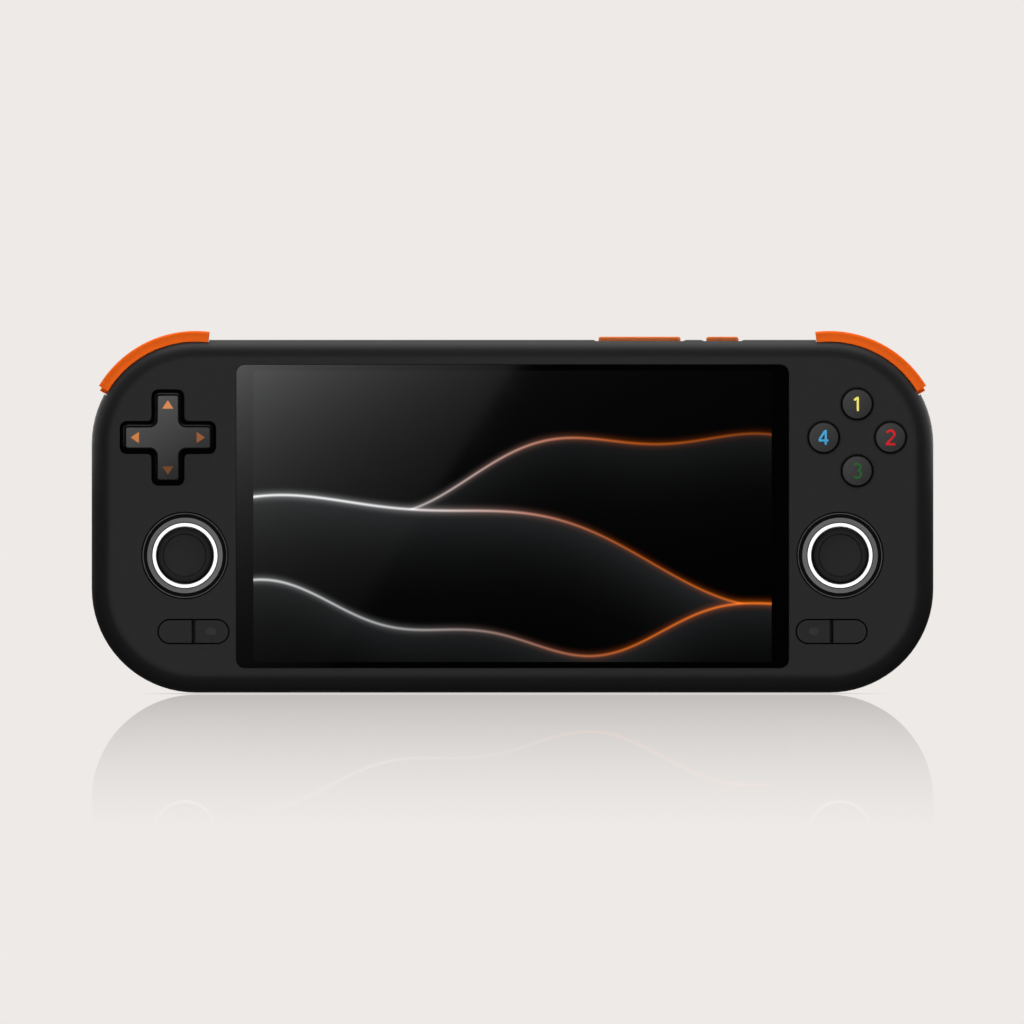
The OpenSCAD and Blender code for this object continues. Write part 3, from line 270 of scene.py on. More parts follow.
def shell_finish():
    """Matt black casing: moulded; the walls of the openings, behind the flat of the face, are painted
    darker as shade, and so is a narrow rim round each button hole, as painted shade of the gap."""
    skin = Skin("matt_black_shell")
    x, y, z = skin.axes()
    cloud, fine = skin.noise(CLOUD), skin.noise(GRAIN, 3.0)
    aside = (x.math("ABSOLUTE") - CORNER[0]).math("MAXIMUM", 0.0)
    above = ((z - MIDDLE).math("ABSOLUTE") - (CORNER[1] - MIDDLE)).math("MAXIMUM", 0.0)
    flat = (aside * aside + above * above).math("SQRT").ramp(FLAT_R + 0.2, FLAT_R - 0.2)
    deep = y - FACE
    # painted shade: the walls of the openings and a narrow rim round each button hole are darkened
    # where shade falls
    painted_well_shade = deep.ramp(0.06, 0.3) * deep.ramp(8.0, 6.0) * flat
    rim = from_buttons(x, z)[2].ramp(4.4, 3.95) * deep.ramp(1.2, 0.6)
    level = speckle(cloud, fine) * (painted_well_shade * -0.85 + 1.0) * (rim * -0.8 + 1.0) * SHELL_TONE
    skin.set(base_color=skin.shade(SHELL_TINT, level), roughness=scatter(cloud, fine) + 0.3,
             specular=SHELL_SHINE)
    return skin.bump(fine, RELIEF)


def menu_finish():
    """Casing plastic with a rim painted dark as shade of the gaps: the rim is where the distance to the
    outline of the pill that two buttons share, or to the cut between them, is small. It is taken from
    the flange, which reaches past the outline."""
    skin = Skin("menu_button_plastic")
    x, _, z = skin.axes()
    (low, high), (_, far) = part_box("right_menu_inner"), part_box("right_menu_outer")
    half, length = (high.z - low.z) / 2 / MM, (far.x - low.x) / MM
    along = (x.math("ABSOLUTE") - (low.x + far.x) / 2 / MM).math("ABSOLUTE")
    past, up = (along - (length / 2 - half)).math("MAXIMUM", 0.0), z - (low.z + high.z) / 2 / MM
    inside = (past * past + up * up).math("SQRT") * -1.0 + half
    flange = 0.72
    # painted shade: the rim round the pill and along the cut between the halves is darkened as the
    # shade of the gaps
    rim = inside.ramp(flange + 0.2, flange + 0.08).math("MAXIMUM", along.ramp(0.52, 0.4) * 0.75)
    cloud, fine = skin.noise(CLOUD), skin.noise(GRAIN, 3.0)
    level = speckle(cloud, fine) * (rim * -0.95 + 1.0) * SHELL_TONE
    skin.set(base_color=skin.shade(SHELL_TINT, level),
             roughness=scatter(cloud, fine) + rim * 0.5 + 0.3, specular=SHELL_SHINE)
    return skin.bump(fine, RELIEF)


def pad_finish():
    """Two-shot cap: a satin face, painted lighter towards its top and its left as light falls there, on
    a gloss black body that shows at the rounded edge, which starts where the surface falls below the
    flat of the face; the foot is dull."""
    skin = Skin("pad_plastic")
    x, y, z = skin.axes()
    middle_x, middle_z = middle("dpad")
    across, up = x - middle_x, z - middle_z
    below = y - (FACE - PAD_PROUD)
    face, foot = below.ramp(0.013, 0.005), below.ramp(PAD_PROUD, PAD_PROUD + 1.0)
    fine = skin.noise(0.3, 3.0)
    # painted light: the face tone rises towards the top and the left
    tone = (up * 0.0034 - across * 0.0019 + 0.0465) * (fine * 0.2 + 0.9)
    skin.set(base_color=skin.shade((1.02, 0.99, 1.0), tone * face + 0.0012),
             roughness=face * 0.2 + foot * 0.65 + fine * 0.1 + 0.22, specular=0.08)
    return skin.bump(fine, 0.006)


def button_finish():
    """Satin button plastic: moulded, painted lighter towards the upper left as light falls there, and
    painted black on the rounded edge as shade of the gap round it; that edge is also dull."""
    skin = Skin("round_button_plastic")
    x, _, z = skin.axes()
    across, up, r = from_buttons(x, z)
    cloud, fine = skin.noise(CLOUD), skin.noise(0.3, 3.0)
    # painted light and shade: lean brightens towards the upper left, rim blackens the edge as gap shade
    rim, lean, tone = r.ramp(3.3, 3.42), (up - across) * 0.07 + 1.0, 0.033
    level = speckle(cloud, fine) * lean * (rim * -0.8 + 1.0) * tone
    skin.set(base_color=skin.shade((1.01, 0.995, 1.0), level),
             roughness=scatter(cloud, fine) + rim * 0.4 + 0.35, specular=0.07)
    return skin.bump(fine, 0.008)


def orange_finish():
    """Orange shoulder plastic: moulded, and painted darker towards the outside of the corner that it
    wraps, as shade where the front turns from the light."""
    skin = Skin("orange_shoulder_plastic")
    x, _, z = skin.axes()
    across, up = x.math("ABSOLUTE") - CORNER[0], z - CORNER[1]
    r = (across * across + up * up).math("SQRT")
    cloud, fine = skin.noise(CLOUD), skin.noise(0.35, 3.0)
    # painted shade: the orange darkens towards the outer radius
    painted_outer_shade = r.ramp(24.6, 26.6, smooth=False) * -0.22 + 0.845
    skin.set(base_color=skin.shade((1.0, 0.136, 0.001), (cloud * 0.1 + fine * 0.14 + 0.88) * painted_outer_shade),
             roughness=fine * 0.14 + 0.38, specular=0.05)
    return skin.bump(fine, 0.008)


def key_finish():
    # a browner orange than the shoulders, made darker still in part as painted shade
    return moulded("orange_key_plastic_painted_shade", 0.8, (0.68, 0.16, 0.034), 0.45, 0.08, 0.35, 0.008)


def rubber_finish():
    """Thumb rubber: near black, dull, with a pebbled skin; a painted highlight line and a painted shade
    line run round the dish, and the rounded rim is painted darker as shade."""
    skin = Skin("thumb_rubber")
    x, _, z = skin.axes()
    middle_x, middle_z = middle("right_stick_cap")
    across, up = x.math("ABSOLUTE") - middle_x, z - middle_z
    r = (across * across + up * up).math("SQRT")
    fine, pebble = skin.noise(0.22, 3.0), skin.cells(0.42)
    # painted light and shade: a highlight line, a shade line and a darker rim
    painted_line_light_and_rim_shade = r.ramp(5.75, 6.2) * -0.8 + (r - 5.2).bell(0.2) * -0.4 + (r - 5.62).bell(0.13) * 0.35
    level = (fine * 0.3 + 0.82) * (painted_line_light_and_rim_shade + 1.0) * 0.0165
    skin.set(base_color=skin.shade((1.03, 0.99, 1.0), level),
             roughness=fine * 0.14 + 0.5, specular=0.07)
    return skin.bump(pebble * 0.6 + fine * 0.4, 0.012)


def ring_finish():
    """Light ring in zones by distance from the stick: a dark throat painted as shade of the gap round
    the cap, the lit diffuser, a grey reflector, a dark valley painted as gap shade, and a lip painted
    lighter as the highlight on the edge of the opening."""
    skin = Skin("light_ring_zones")
    x, _, z = skin.axes()
    middle_x, middle_z = middle("right_light_ring")
    across, up = x.math("ABSOLUTE") - middle_x, z - middle_z
    r = (across * across + up * up).math("SQRT")
    fine = skin.noise(0.3, 3.0)
    # the near-black base in the throat and the valley is painted shade; the lip's grey is a painted
    # highlight
    lit = r.ramp(6.8, 6.88) * r.ramp(7.66, 7.58)
    grey = r.ramp(7.78, 7.88) * r.ramp(8.9, 8.82)
    lip = r.ramp(9.7, 9.76) * r.ramp(9.98, 9.92)
    level = lit * 0.6 + grey * 0.165 + lip * 0.085 + 0.002
    white = (1.0, 1.0, 1.0)
    skin.set(base_color=skin.shade(white, level * (fine * 0.2 + 0.9)), roughness=fine * 0.1 + 0.4,
             specular=0.02, glow=skin.shade(white, lit * (fine * 0.06 + 0.97)), glow_strength=0.75)
    return skin.bump(fine, 0.006)


def stem_finish():
    return moulded("stick_shaft_plastic", 0.12, (1.0, 0.99, 0.97), 0.4, 0.4)


def dark_plastic_finish():
    return moulded("inner_black_plastic", 0.022, (1.0, 1.0, 1.02), 0.55, 0.3, 0.5)


def metal(name, tone, rough, length, relief):
    """Brushed or cast metal: streaks along x in tone and roughness, faint clouding."""
    skin = Skin(name)
    streak, cloud = skin.noise(0.12, 3.0, (length, 1, 1)), skin.noise(6.0)
    skin.set(base_color=skin.shade(tone, streak * 0.3 + cloud * 0.16 + 0.77), metallic=1.0,
             roughness=streak * 0.2 + cloud * 0.1 + (rough - 0.15))
    return skin.bump(streak, relief)


def steel_finish():
    return metal("plated_steel", (0.56, 0.57, 0.58), 0.32, 12, 0.004)


def dark_screw_finish():
    return metal("black_oxide_steel", (0.07, 0.07, 0.075), 0.4, 3, 0.004)


def frame_metal_finish():
    return metal("die_cast_alloy", (0.42, 0.43, 0.44), 0.5, 1.5, 0.02)


def copper_finish():
    return metal("drawn_copper", (0.78, 0.38, 0.2), 0.34, 10, 0.005)


def board_finish():
    """Circuit board: black-green lacquer, straight tracks where two slow waves line up, plated
    holes."""
    skin = Skin("circuit_lacquer")
    x, _, z = skin.axes()
    area = skin.noise(9.0, 0.0)
    along = (x * 2.6).math("SINE").ramp(0.55, 0.8) * area.ramp(0.48, 0.52)
    up = (z * 2.6).math("SINE").ramp(0.55, 0.8) * area.ramp(0.5, 0.46)
    holes = skin.cells(2.4).ramp(0.16, 0.12)
    tracks = (along + up).math("MINIMUM", 1.0)
    lacquer = skin.mix(tracks, (0.01, 0.018, 0.013), (0.015, 0.03, 0.02))
    skin.set(base_color=skin.mix(holes, lacquer, (0.62, 0.5, 0.24)), roughness=tracks * 0.1 + 0.5,
             metallic=holes * 0.9, specular=0.25)
    return skin.bump(tracks + holes, 0.03)


def panel_finish():
    """Display stack: near black with the fine columns of its picture points."""
    skin = Skin("display_stack")
    x, _, _ = skin.axes()
    column = (x * 40.0).math("SINE")
    return skin.set(base_color=skin.shade((0.9, 1.0, 1.1), column * 0.004 + 0.012),
                    roughness=skin.noise(3.0) * 0.1 + 0.15)


def membrane_finish():
    return moulded("grey_silicone", 0.19, (1.0, 1.0, 1.02), 0.62, 0.3, 0.6, 0.01)


def cell_finish():
    """Battery pouch: grey foil with broad creases."""
    skin = Skin("cell_foil")
    crease = skin.noise(7.0, 4.0)
    skin.set(base_color=skin.shade((0.3, 0.31, 0.32), crease * 0.4 + 0.7), metallic=0.7,
             roughness=crease * 0.3 + 0.25)
    return skin.bump(crease, 0.15)


def glass_finish():
    """Cover glass over a lit panel: three hill lines, each a thin bright crest with haze below it,
    the nearer ones hiding the farther; a crest goes from white at the left to orange at the right,
    and a faint glow over the upper left is a painted reflection of glare. The border round the panel is
    black print."""
    skin = Skin("cover_glass")
    x, _, z = skin.axes()
    hills = (
        # height, then (swing, wave length, start) of two waves, brightness
        (52.0, (9.5, 170.0, 0.2), (3.0, 61.0, 1.1), 0.55),
        (35.0, (12.0, 205.0, 2.6), (3.4, 83.0, 0.4), 1.0),
        (17.5, (7.0, 150.0, 4.3), (2.4, 52.0, 2.2), 0.8),
    )
    warm = x.ramp(-34.0, 30.0)
    light, lines = None, None
    for height, long_wave, short_wave, bright in hills:
        crest = height
        for swing, length, start in (long_wave, short_wave):
            crest = (x * (2 * math.pi / length) + start).math("SINE") * swing + crest
        rise = z - crest
        below = rise.ramp(0.15, -0.15)
        wander = (x * 0.043 + height).math("SINE") * 0.3 + 0.7
        line = (rise.bell(0.28) * 0.85 + rise.bell(0.95) * 0.13) * wander
        haze = (rise / 7.0).math("EXPONENT").math("MINIMUM", 1.0) * below * 0.02
        own_line, own_haze = line * bright, haze * bright
        keep = below.flip()
        light = own_haze if light is None else light * keep + own_haze
        lines = own_line if lines is None else lines * keep + own_line
    # painted reflection: a faint glow in the upper left stands for glare on the glass
    light = light + ((z - 76.3) / 25.0 - (x + 61.0) / 50.0).math("EXPONENT") * 0.012
    half_w, half_h = 60.9, 34.25
    edge = x.math("ABSOLUTE").ramp(half_w + 0.05, half_w - 0.05)
    edge = edge * (z - MIDDLE).math("ABSOLUTE").ramp(half_h + 0.05, half_h - 0.05)
    colour = skin.mix(warm, (0.86, 0.87, 0.88), (1.0, 0.2, 0.012))
    tone = skin.node("ShaderNodeVectorMath", operation="SCALE")
    skin.tree.links.new(colour.socket, tone.inputs[0])
    put(skin.tree, tone.inputs["Scale"], lines * edge)
    total = skin.node("ShaderNodeVectorMath", operation="ADD")
    skin.tree.links.new(tone.outputs[0], total.inputs[0])
    skin.tree.links.new(skin.shade((0.9, 0.95, 1.0), light * edge).socket, total.inputs[1])
    smear = skin.noise(11.0, 3.0)
    return skin.set(base_color=skin.shade((1.0, 0.97, 0.94), edge * -0.0003 + 0.0008),
                    roughness=smear * 0.03 + 0.015, specular=0.5, ior=1.5,
                    glow=Field(skin.tree, total.outputs[0]), glow_strength=1.0)


def mark_finish(name, colour, glow):
    """Pad-printed ink: even colour with a faint mottle and a soft sheen; a glow above zero is painted
    light that makes the ink give light.
    """
    skin = Skin(name)
    fine = skin.noise(0.4, 2.0)
    return skin.set(base_color=skin.shade(colour, fine * 0.1 + 0.93), roughness=fine * 0.1 + 0.4,
                    specular=0.08, glow=colour, glow_strength=glow)


FINISHES = {
    "shell": shell_finish, "glass": glass_finish, "panel": panel_finish, "pad": pad_finish,
    "button": button_finish, "menu": menu_finish, "orange": orange_finish, "key": key_finish,
    "stick_rubber": rubber_finish, "ring": ring_finish, "stem": stem_finish, "steel": steel_finish,
    "dark_screw": dark_screw_finish, "frame_metal": frame_metal_finish, "board": board_finish,
    "copper": copper_finish, "dark_plastic": dark_plastic_finish, "membrane": membrane_finish,
    "cell": cell_finish,
}
finish = {slot: make().material for slot, make in FINISHES.items()}

for row in frame["record"]["subparts"]:
    solid = frame["nodes"][row["node"]]
    if not solid.material_slots:
        solid.data.materials.append(None)
    for place in solid.material_slots:
        place.material = finish[row["material_slot"]]


# ---------------------------------------------------------------- surfaces

def at_face(x, z, depth):
    """Points seen from the front: x to the right, z up, depth behind the front face. Whole arrays,
    to metres."""
    x, z, depth = np.broadcast_arrays(x, z, depth)
    return np.stack([x, FACE + depth, z], axis=-1) * MM


def stand(name, points, quads, material):
    """A mesh object of that material from points and quads, in the scene."""
    mesh = bpy.data.meshes.new(name)
    mesh.from_pydata(points.reshape(-1, 3).tolist(), [], quads.reshape(-1, 4).tolist())
    mesh.materials.append(material)
    obj = bpy.data.objects.new(name, mesh)
    bpy.context.scene.collection.objects.link(obj)
    return obj


def piece(name, grids, body, material, crease=35):
    """One object from grids of points. In each, rows run along and columns run round and close;
    neighbours join in quads, and a row whose points fall together is a pole. It rides on its body,
    if one is given."""
    points, quads, count = [], [], 0
    for grid in grids:
        rows, columns = grid.shape[:2]
        index = count + np.arange(rows * columns).reshape(rows, columns)
        after = np.roll(index, -1, axis=1)
        quads.append(np.stack([index[:-1], after[:-1], after[1:], index[1:]], axis=-1).reshape(-1, 4))
        points.append(grid.reshape(-1, 3))
        count += rows * columns
    obj = stand(name, np.concatenate(points), np.concatenate(quads), material)
    mesh = obj.data
    work = bmesh.new()
    work.from_mesh(mesh)
    bmesh.ops.remove_doubles(work, verts=work.verts, dist=1e-7)
    bmesh.ops.recalc_face_normals(work, faces=work.faces)
    work.to_mesh(mesh)
    work.free()
    mesh.shade_smooth()
    mesh.set_sharp_from_angle(angle=math.radians(crease))
    if body:
        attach(obj, body)
    return obj


def revolved(profile, columns, x, z, swell=None):
    """A profile of (radius, height) pairs carried round the axis that stands on the face at x, z.
    swell, if given, adds to the radius from the height and the angle."""
    angle = np.linspace(0, 2 * np.pi, columns, endpoint=False)[None, :]
    radius, height = profile[:, :1], profile[:, 1:]
    if swell is not None:
        radius = radius + swell(height, angle)
    return at_face(x + radius * np.cos(angle), z + radius * np.sin(angle), -height)


def arc(middle_point, radius, start, end, count):
    """Points of a circle's arc, angles in degrees."""
    angle = np.radians(np.linspace(start, end, count))
    return np.asarray(middle_point) + radius * np.stack([np.cos(angle), np.sin(angle)], axis=-1)


def line(start, end, count):
    """Points of a straight run."""
    share = np.linspace(0, 1, count)[:, None]
    return np.asarray(start) * (1 - share) + np.asarray(end) * share


# ---------------------------------------------------------------- thumb caps

def thumb_profile():
    """From the middle of the dish outwards: a spherical dish, two round-bottomed grooves near its
    edge, a rounded rim, the side, the underside, the neck, the dust dome about the gimbal, and back
    up the bore."""
    top, low, rim, outer, bore, gimbal = 4.6, 2.4, 0.6, 6.6, 1.8, -6.8
    dish_r, dish = 5.4, 0.7
    ball = (dish_r ** 2 + dish ** 2) / (2 * dish)
    r = np.concatenate([np.linspace(0, 4.7, 24), np.linspace(4.75, outer - rim, 56)])
    bowl = np.where(r < dish_r, ball - dish - np.sqrt(ball ** 2 - np.minimum(r, dish_r) ** 2), 0)
    cuts = 0.17 * np.exp(-((r - 4.95) / 0.1) ** 2) + 0.2 * np.exp(-((r - 5.72) / 0.1) ** 2)
    dome, inner = 6.0, 5.2
    rows = [
        np.stack([r, top + bowl - cuts], axis=-1),
        arc((outer - rim, top - rim), rim, 88, 0, 12),
        line((outer, top - rim - 0.02), (outer, low + rim + 0.02), 12),
        arc((outer - rim, low + rim), rim, 0, -90, 12),
        line((outer - rim - 0.1, low), (3.2, low), 6),
        line((3.0, low - 0.15), (3.0, gimbal + math.sqrt(dome ** 2 - 9.0)), 4),
        arc((0, gimbal), dome, 59, 45.2, 10),
        arc((0, gimbal), inner, 45.2, 69.5, 10),
        line((bore, gimbal + math.sqrt(inner ** 2 - bore ** 2)), (bore, low + 0.6), 4),
        line((bore - 0.01, low + 0.6), (0, low + 0.6), 3),
    ]
    return np.concatenate(rows)


def knurl(height, angle):
    """Seventy-two shallow ribs on the side of the cap, fading out into both roundings."""
    window = np.clip((height - 3.0) / 0.25, 0, 1) * np.clip((4.1 - height) / 0.25, 0, 1)
    return -0.06 * window * (1 - np.cos(72 * angle))


for side in ("left", "right"):
    cap_x, cap_z = middle(side + "_stick_cap")
    cap = piece(side + "_thumb_cap", [revolved(thumb_profile(), 432, cap_x, cap_z, knurl)],
                side + "_stick", finish["stick_rubber"], 50)
    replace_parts(cap, side + "_stick_cap")


# ---------------------------------------------------------------- direction cap

def cross_ring(length, arm, outer, inner):
    """Outline of a plus sign: arms of that length and width, tips rounded by outer, the four inside
    corners filled by inner. One quarter is worked out and turned through the other three."""
    far, near = length / 2, arm / 2
    quarter = np.concatenate([
        line((far, 0), (far, near - outer), 4)[:-1],
        arc((far - outer, near - outer), outer, 0, 90, 9),
        line((far - outer, near), (near + inner, near), 10)[1:-1],
        arc((near + inner, near + inner), inner, 270, 180, 11),
        line((near, near + inner), (near, far - outer), 10)[1:-1],
        arc((near - outer, far - outer), outer, 0, 90, 9),
        line((near - outer, far), (0, far), 4)[1:-1],
    ])
    turn = np.radians(90 * np.arange(4))[:, None]
    x = np.cos(turn) * quarter[:, 0] - np.sin(turn) * quarter[:, 1]
    z = np.sin(turn) * quarter[:, 0] + np.cos(turn) * quarter[:, 1]
    return np.stack([x.ravel(), z.ravel()], axis=-1)


def direction_cap(x, z):
    """Rings of the plus sign stacked from the flange to the face: flange, wall, a quarter-round
    edge, then the flat face drawn in to the middle."""
    length, arm, edge, tip, fillet = 21.2, 6.3, 0.95, 1.2, 1.1
    flange_top, flange_back, flange = 3.0, 3.7, 1.3
    rings, depths = [], []

    def add(inset, depth, share=1.0):
        ring = cross_ring(length - 2 * inset, arm - 2 * inset, max(tip - inset, 0.3), fillet + inset)
        rings.append(ring * share)
        depths.append(np.full(ring.shape[:1], depth))

    add(-flange, flange_back, 0.0)
    for inset, depth in ((-flange, flange_back), (-flange, flange_top), (0.0, flange_top), (0.0, 1.0)):
        add(inset, depth)
    for turn in np.radians(np.linspace(0, 90, 9)):
        add(edge * (1 - math.cos(turn)), -PAD_PROUD + edge * (1 - math.sin(turn)))
    for share in (0.985, 0.9, 0.75, 0.6, 0.45, 0.3, 0.2, 0.1, 0.05, 0.0):
        add(edge, -PAD_PROUD, share)
    ring, depth = np.stack(rings), np.stack(depths)
    return at_face(x + ring[..., 0], z + ring[..., 1], depth)


def pivot_socket(x, z):
    """A post under the cap with a round socket for the ball: outer wall, lip, then the bowl back to
    the axis."""
    ball, ball_depth, post, start, lip = 1.55, 4.0, 2.3, 3.6, 4.1
    bowl = arc((0, -ball_depth), ball, -3.7, 90, 14)
    return revolved(np.concatenate([[(0, -start), (post, -start), (post, -lip)], bowl]), 48, x, z)


pad_x, pad_z = middle("dpad")
pad_cap = piece("direction_cap", [direction_cap(pad_x, pad_z), pivot_socket(pad_x, pad_z)],
                "dpad", finish["pad"], 40)
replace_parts(pad_cap, "dpad")


# ---------------------------------------------------------------- top keys

SEAM = 8.5  # depth of the line along which the keys stand
KEY_TOP, KEY_W, KEY_ROUND = 83.78, 3.0, 0.55


def pill_stack(x, rows):
    """Pills standing on the seam line at x, one above the other: each row has length, width, height
    and the share to which it is drawn in. A pill is two half circles with straight runs between."""
    rings = []
    for length, width, _, share in rows:
        run, half = (length - width) / 2, width / 2
        ends = [arc((run, 0), half, -90, 90, 20), arc((-run, 0), half, 90, 270, 20)]
        rings.append(np.concatenate(ends) * share)
    ring, height = np.stack(rings), np.array([row[2] for row in rows])[:, None]
    return at_face(x + ring[..., 0], height, SEAM + ring[..., 1])


def key_block(x, length, wide, low, high):
    """A key on its flange: the flange is wider all round and lies between low and high, the edge of
    the top is a quarter round."""
    flange = (length + 2 * wide, KEY_W + 2 * wide)
    rows = [(*flange, low, 0.0), (*flange, low, 1.0), (*flange, high, 1.0), (length, KEY_W, high, 1.0)]
    for turn in np.radians(np.linspace(0, 90, 9)):
        inset = 2 * KEY_ROUND * (1 - math.cos(turn))
        rows.append((length - inset, KEY_W - inset, KEY_TOP - KEY_ROUND * (1 - math.sin(turn)), 1.0))
    flat = (length - 2 * KEY_ROUND, KEY_W - 2 * KEY_ROUND, KEY_TOP)
    return pill_stack(x, rows + [(*flat, 0.98), (*flat, 0.0)])


def saddle(x):
    """A block with a round notch in its underside for the pivot: one outline carried through the
    depth and closed at both ends by a fan."""
    pivot, reach, rise, notch, deep = 79.1, 1.6, 1.0, 0.75, 1.5
    ring = np.concatenate([arc((0, 0), notch, 0, 180, 16),
                           [(-reach, 0), (-reach, rise), (reach, rise), (reach, 0)]])
    hub = np.array([0, 0.95 * rise])
    share = np.array([0.0, 1.0, 1.0, 0.0])[:, None, None]
    grid = ring * share + hub * (1 - share)
    depth = SEAM + np.array([-deep, -deep, deep, deep])[:, None]
    return at_face(x + grid[..., 0], pivot + grid[..., 1], depth)


def top_key(name, node, grids):
    """A key piece in place of its solid."""
    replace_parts(piece(name, grids, node, finish["key"], 40), node)


volume_x, power_x = middle("volume_rocker")[0], middle("power_button")[0]
volume_block = key_block(volume_x, length=19.3, wide=1.2, low=79.9, high=80.7)
top_key("volume_key", "volume_rocker", [volume_block, saddle(volume_x)])
power_block = key_block(power_x, length=7.6, wide=0.8, low=80.1, high=81.0)
PLUNGER_W, PLUNGER_LOW, PLUNGER_HIGH = 2.2, 79.5, 80.2
plunger = [(PLUNGER_W, PLUNGER_W, height, share) for height, share in (
    (PLUNGER_LOW, 0.0), (PLUNGER_LOW, 1.0), (PLUNGER_HIGH, 1.0), (PLUNGER_HIGH, 0.0))]
top_key("power_key", "power_button", [power_block, pill_stack(power_x, plunger)])


# ---------------------------------------------------------------- soft pieces

BOARD, SHEET_R = 4.8, 11.4  # depth of the boards under the sheets, radius of a sheet
WAYS = {"top": (0, 1), "right": (1, 0), "bottom": (0, -1), "left": (-1, 0)}


def dome_profile(radius, top, foot):
    """Rubber dome in section, from its axis outwards: flat crown, rounded shoulder, leaning wall,
    flat underside."""
    crown, shoulder = 0.6 * radius, 0.2
    return np.concatenate([line((0, -top), (crown, -top), 4),
                           arc((crown, -top - shoulder), shoulder, 80, 15, 5),
                           line((radius, -foot), (0, -foot), 3)])


def dome_sheet(name, node, ring, radius, top, foot, hole):
    """A rubber sheet with a hole in its middle, and on it four domes."""
    x, z = middle(node)
    outline = np.array([(hole, -foot), (SHEET_R, -foot), (SHEET_R, -BOARD), (hole, -BOARD),
                        (hole, -foot)])
    sheet = piece(name + "_sheet", [revolved(outline, 96, x, z)], "casing",
                  finish["membrane"])
    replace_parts(sheet, node)
    profile = dome_profile(radius, top, foot)
    for way, (across, up) in WAYS.items():
        dome_x, dome_z = x + ring * across, z + ring * up
        dome = piece(name + "_dome_" + way, [revolved(profile, 40, dome_x, dome_z)], "casing",
                     finish["membrane"])
        at_face(dome_x, dome_z, foot).tolist()
        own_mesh(dome)


dome_sheet("pad", "dpad_membrane", ring=8.0, radius=2.0, top=3.9, foot=4.66, hole=2.8)
dome_sheet("button", "face_button_membrane", ring=BUTTON_RING, radius=2.6, top=2.95, foot=4.3, hole=2.0)


def torsion_spring(side):
    """One tube: a straight leg, two turns about the pin that advance by their angle, and a straight
    leg to the peg of the trigger. The section is a circle across the path."""
    pin_x, pin_z, first, last, coil, wire, turns = 64.5, 77.2, 9.0, 10.95, 1.9, 0.22, 2
    share = np.linspace(0, 1, 97)
    angle = np.radians(270) + 2 * np.pi * turns * share
    path = np.concatenate([
        line((-3.9, -coil, first), (-0.3, -coil, first), 4),
        np.stack([coil * np.cos(angle), coil * np.sin(angle), first + share * (last - first)], axis=-1),
        line((0.3, -coil, last), (7.0, -coil, last), 6)])
    along = np.gradient(path, axis=0)
    along /= np.linalg.norm(along, axis=1, keepdims=True)
    out = np.cross((0.0, 0.0, 1.0), along)
    out /= np.linalg.norm(out, axis=1, keepdims=True)
    turn = np.linspace(0, 2 * np.pi, 12, endpoint=False)[None, :, None]
    circle = np.cos(turn) * out[:, None] + np.sin(turn) * np.cross(along, out)[:, None]
    grid = path[:, None] + wire * circle
    ends = np.broadcast_to(path[[0, -1]][:, None], (2,) + grid.shape[1:])
    grid = np.concatenate([ends[:1], grid, ends[1:]])
    way = 1 if side == "right" else -1
    tube = at_face(way * (pin_x + grid[..., 0]), pin_z + grid[..., 1], grid[..., 2])
    spring = piece(side + "_torsion_spring", [tube], None, finish["steel"])
    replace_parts(spring, side + "_trigger_spring")
    at_face(way * pin_x, pin_z, first + wire).tolist()
    at_face(way * pin_x, pin_z, last - wire).tolist()
    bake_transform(spring)


for side in ("left", "right"):
    torsion_spring(side)


# ---------------------------------------------------------------- marks

INK_PROUD, ARROW_PROUD, ARROW_RING = 0.035, 0.03, 7.43  # height of the marks; pad's middle to an arrow
INLAY_ROWS = np.array([(0.0, -1.0), (1.0, -1.0), (1.0, 0.6), (0.94, 1.0), (0.0, 1.0)])  # share, level


def triangle_ring(point):
    """Outline of a small triangle with softened corners, its point turned to that angle: one over
    the reach is the high root of the sum of the same power of the three edges' cosines over their
    distances."""
    base, side, lean, power = 0.66, 0.74, np.radians(55.9), 18
    angle = np.linspace(0, 2 * np.pi, 90, endpoint=False)
    edges = np.array([[np.pi, base], [lean, side], [-lean, side]])
    pull = np.maximum(np.cos(angle[None] - edges[:, :1]), 0) / edges[:, 1:]
    reach = (pull ** power).sum(axis=0) ** (-1 / power)
    return np.stack([reach * np.cos(angle + point), reach * np.sin(angle + point)], axis=-1)


def inlay(ring, ground, proud, x, z):
    """A flat plate from one outline: the outline times each share, at each level times proud above
    the ground."""
    share, level = INLAY_ROWS[:, :1], INLAY_ROWS[:, 1:]
    return at_face(x + ring[None, :, 0] * share, z + ring[None, :, 1] * share, -ground - proud * level)


ARROWS = {
    # angle of the point, colour: one orange ink, painted lighter at the top and left and darker at the
    # right and bottom as light and shade
    "up": (90, (0.782, 0.288, 0.1)),
    "left": (180, (0.687, 0.231, 0.06)),
    "right": (0, (0.338, 0.115, 0.032)),
    "down": (270, (0.171, 0.06, 0.018)),
}
for name, (degrees, colour) in ARROWS.items():
    point = math.radians(degrees)
    spot_x, spot_z = pad_x + ARROW_RING * math.cos(point), pad_z + ARROW_RING * math.sin(point)
    piece("pad_arrow_" + name, [inlay(triangle_ring(point), PAD_PROUD, ARROW_PROUD, spot_x, spot_z)],
          "dpad", mark_finish("painted_light_arrow_ink_" + name, colour, 0.0).material)


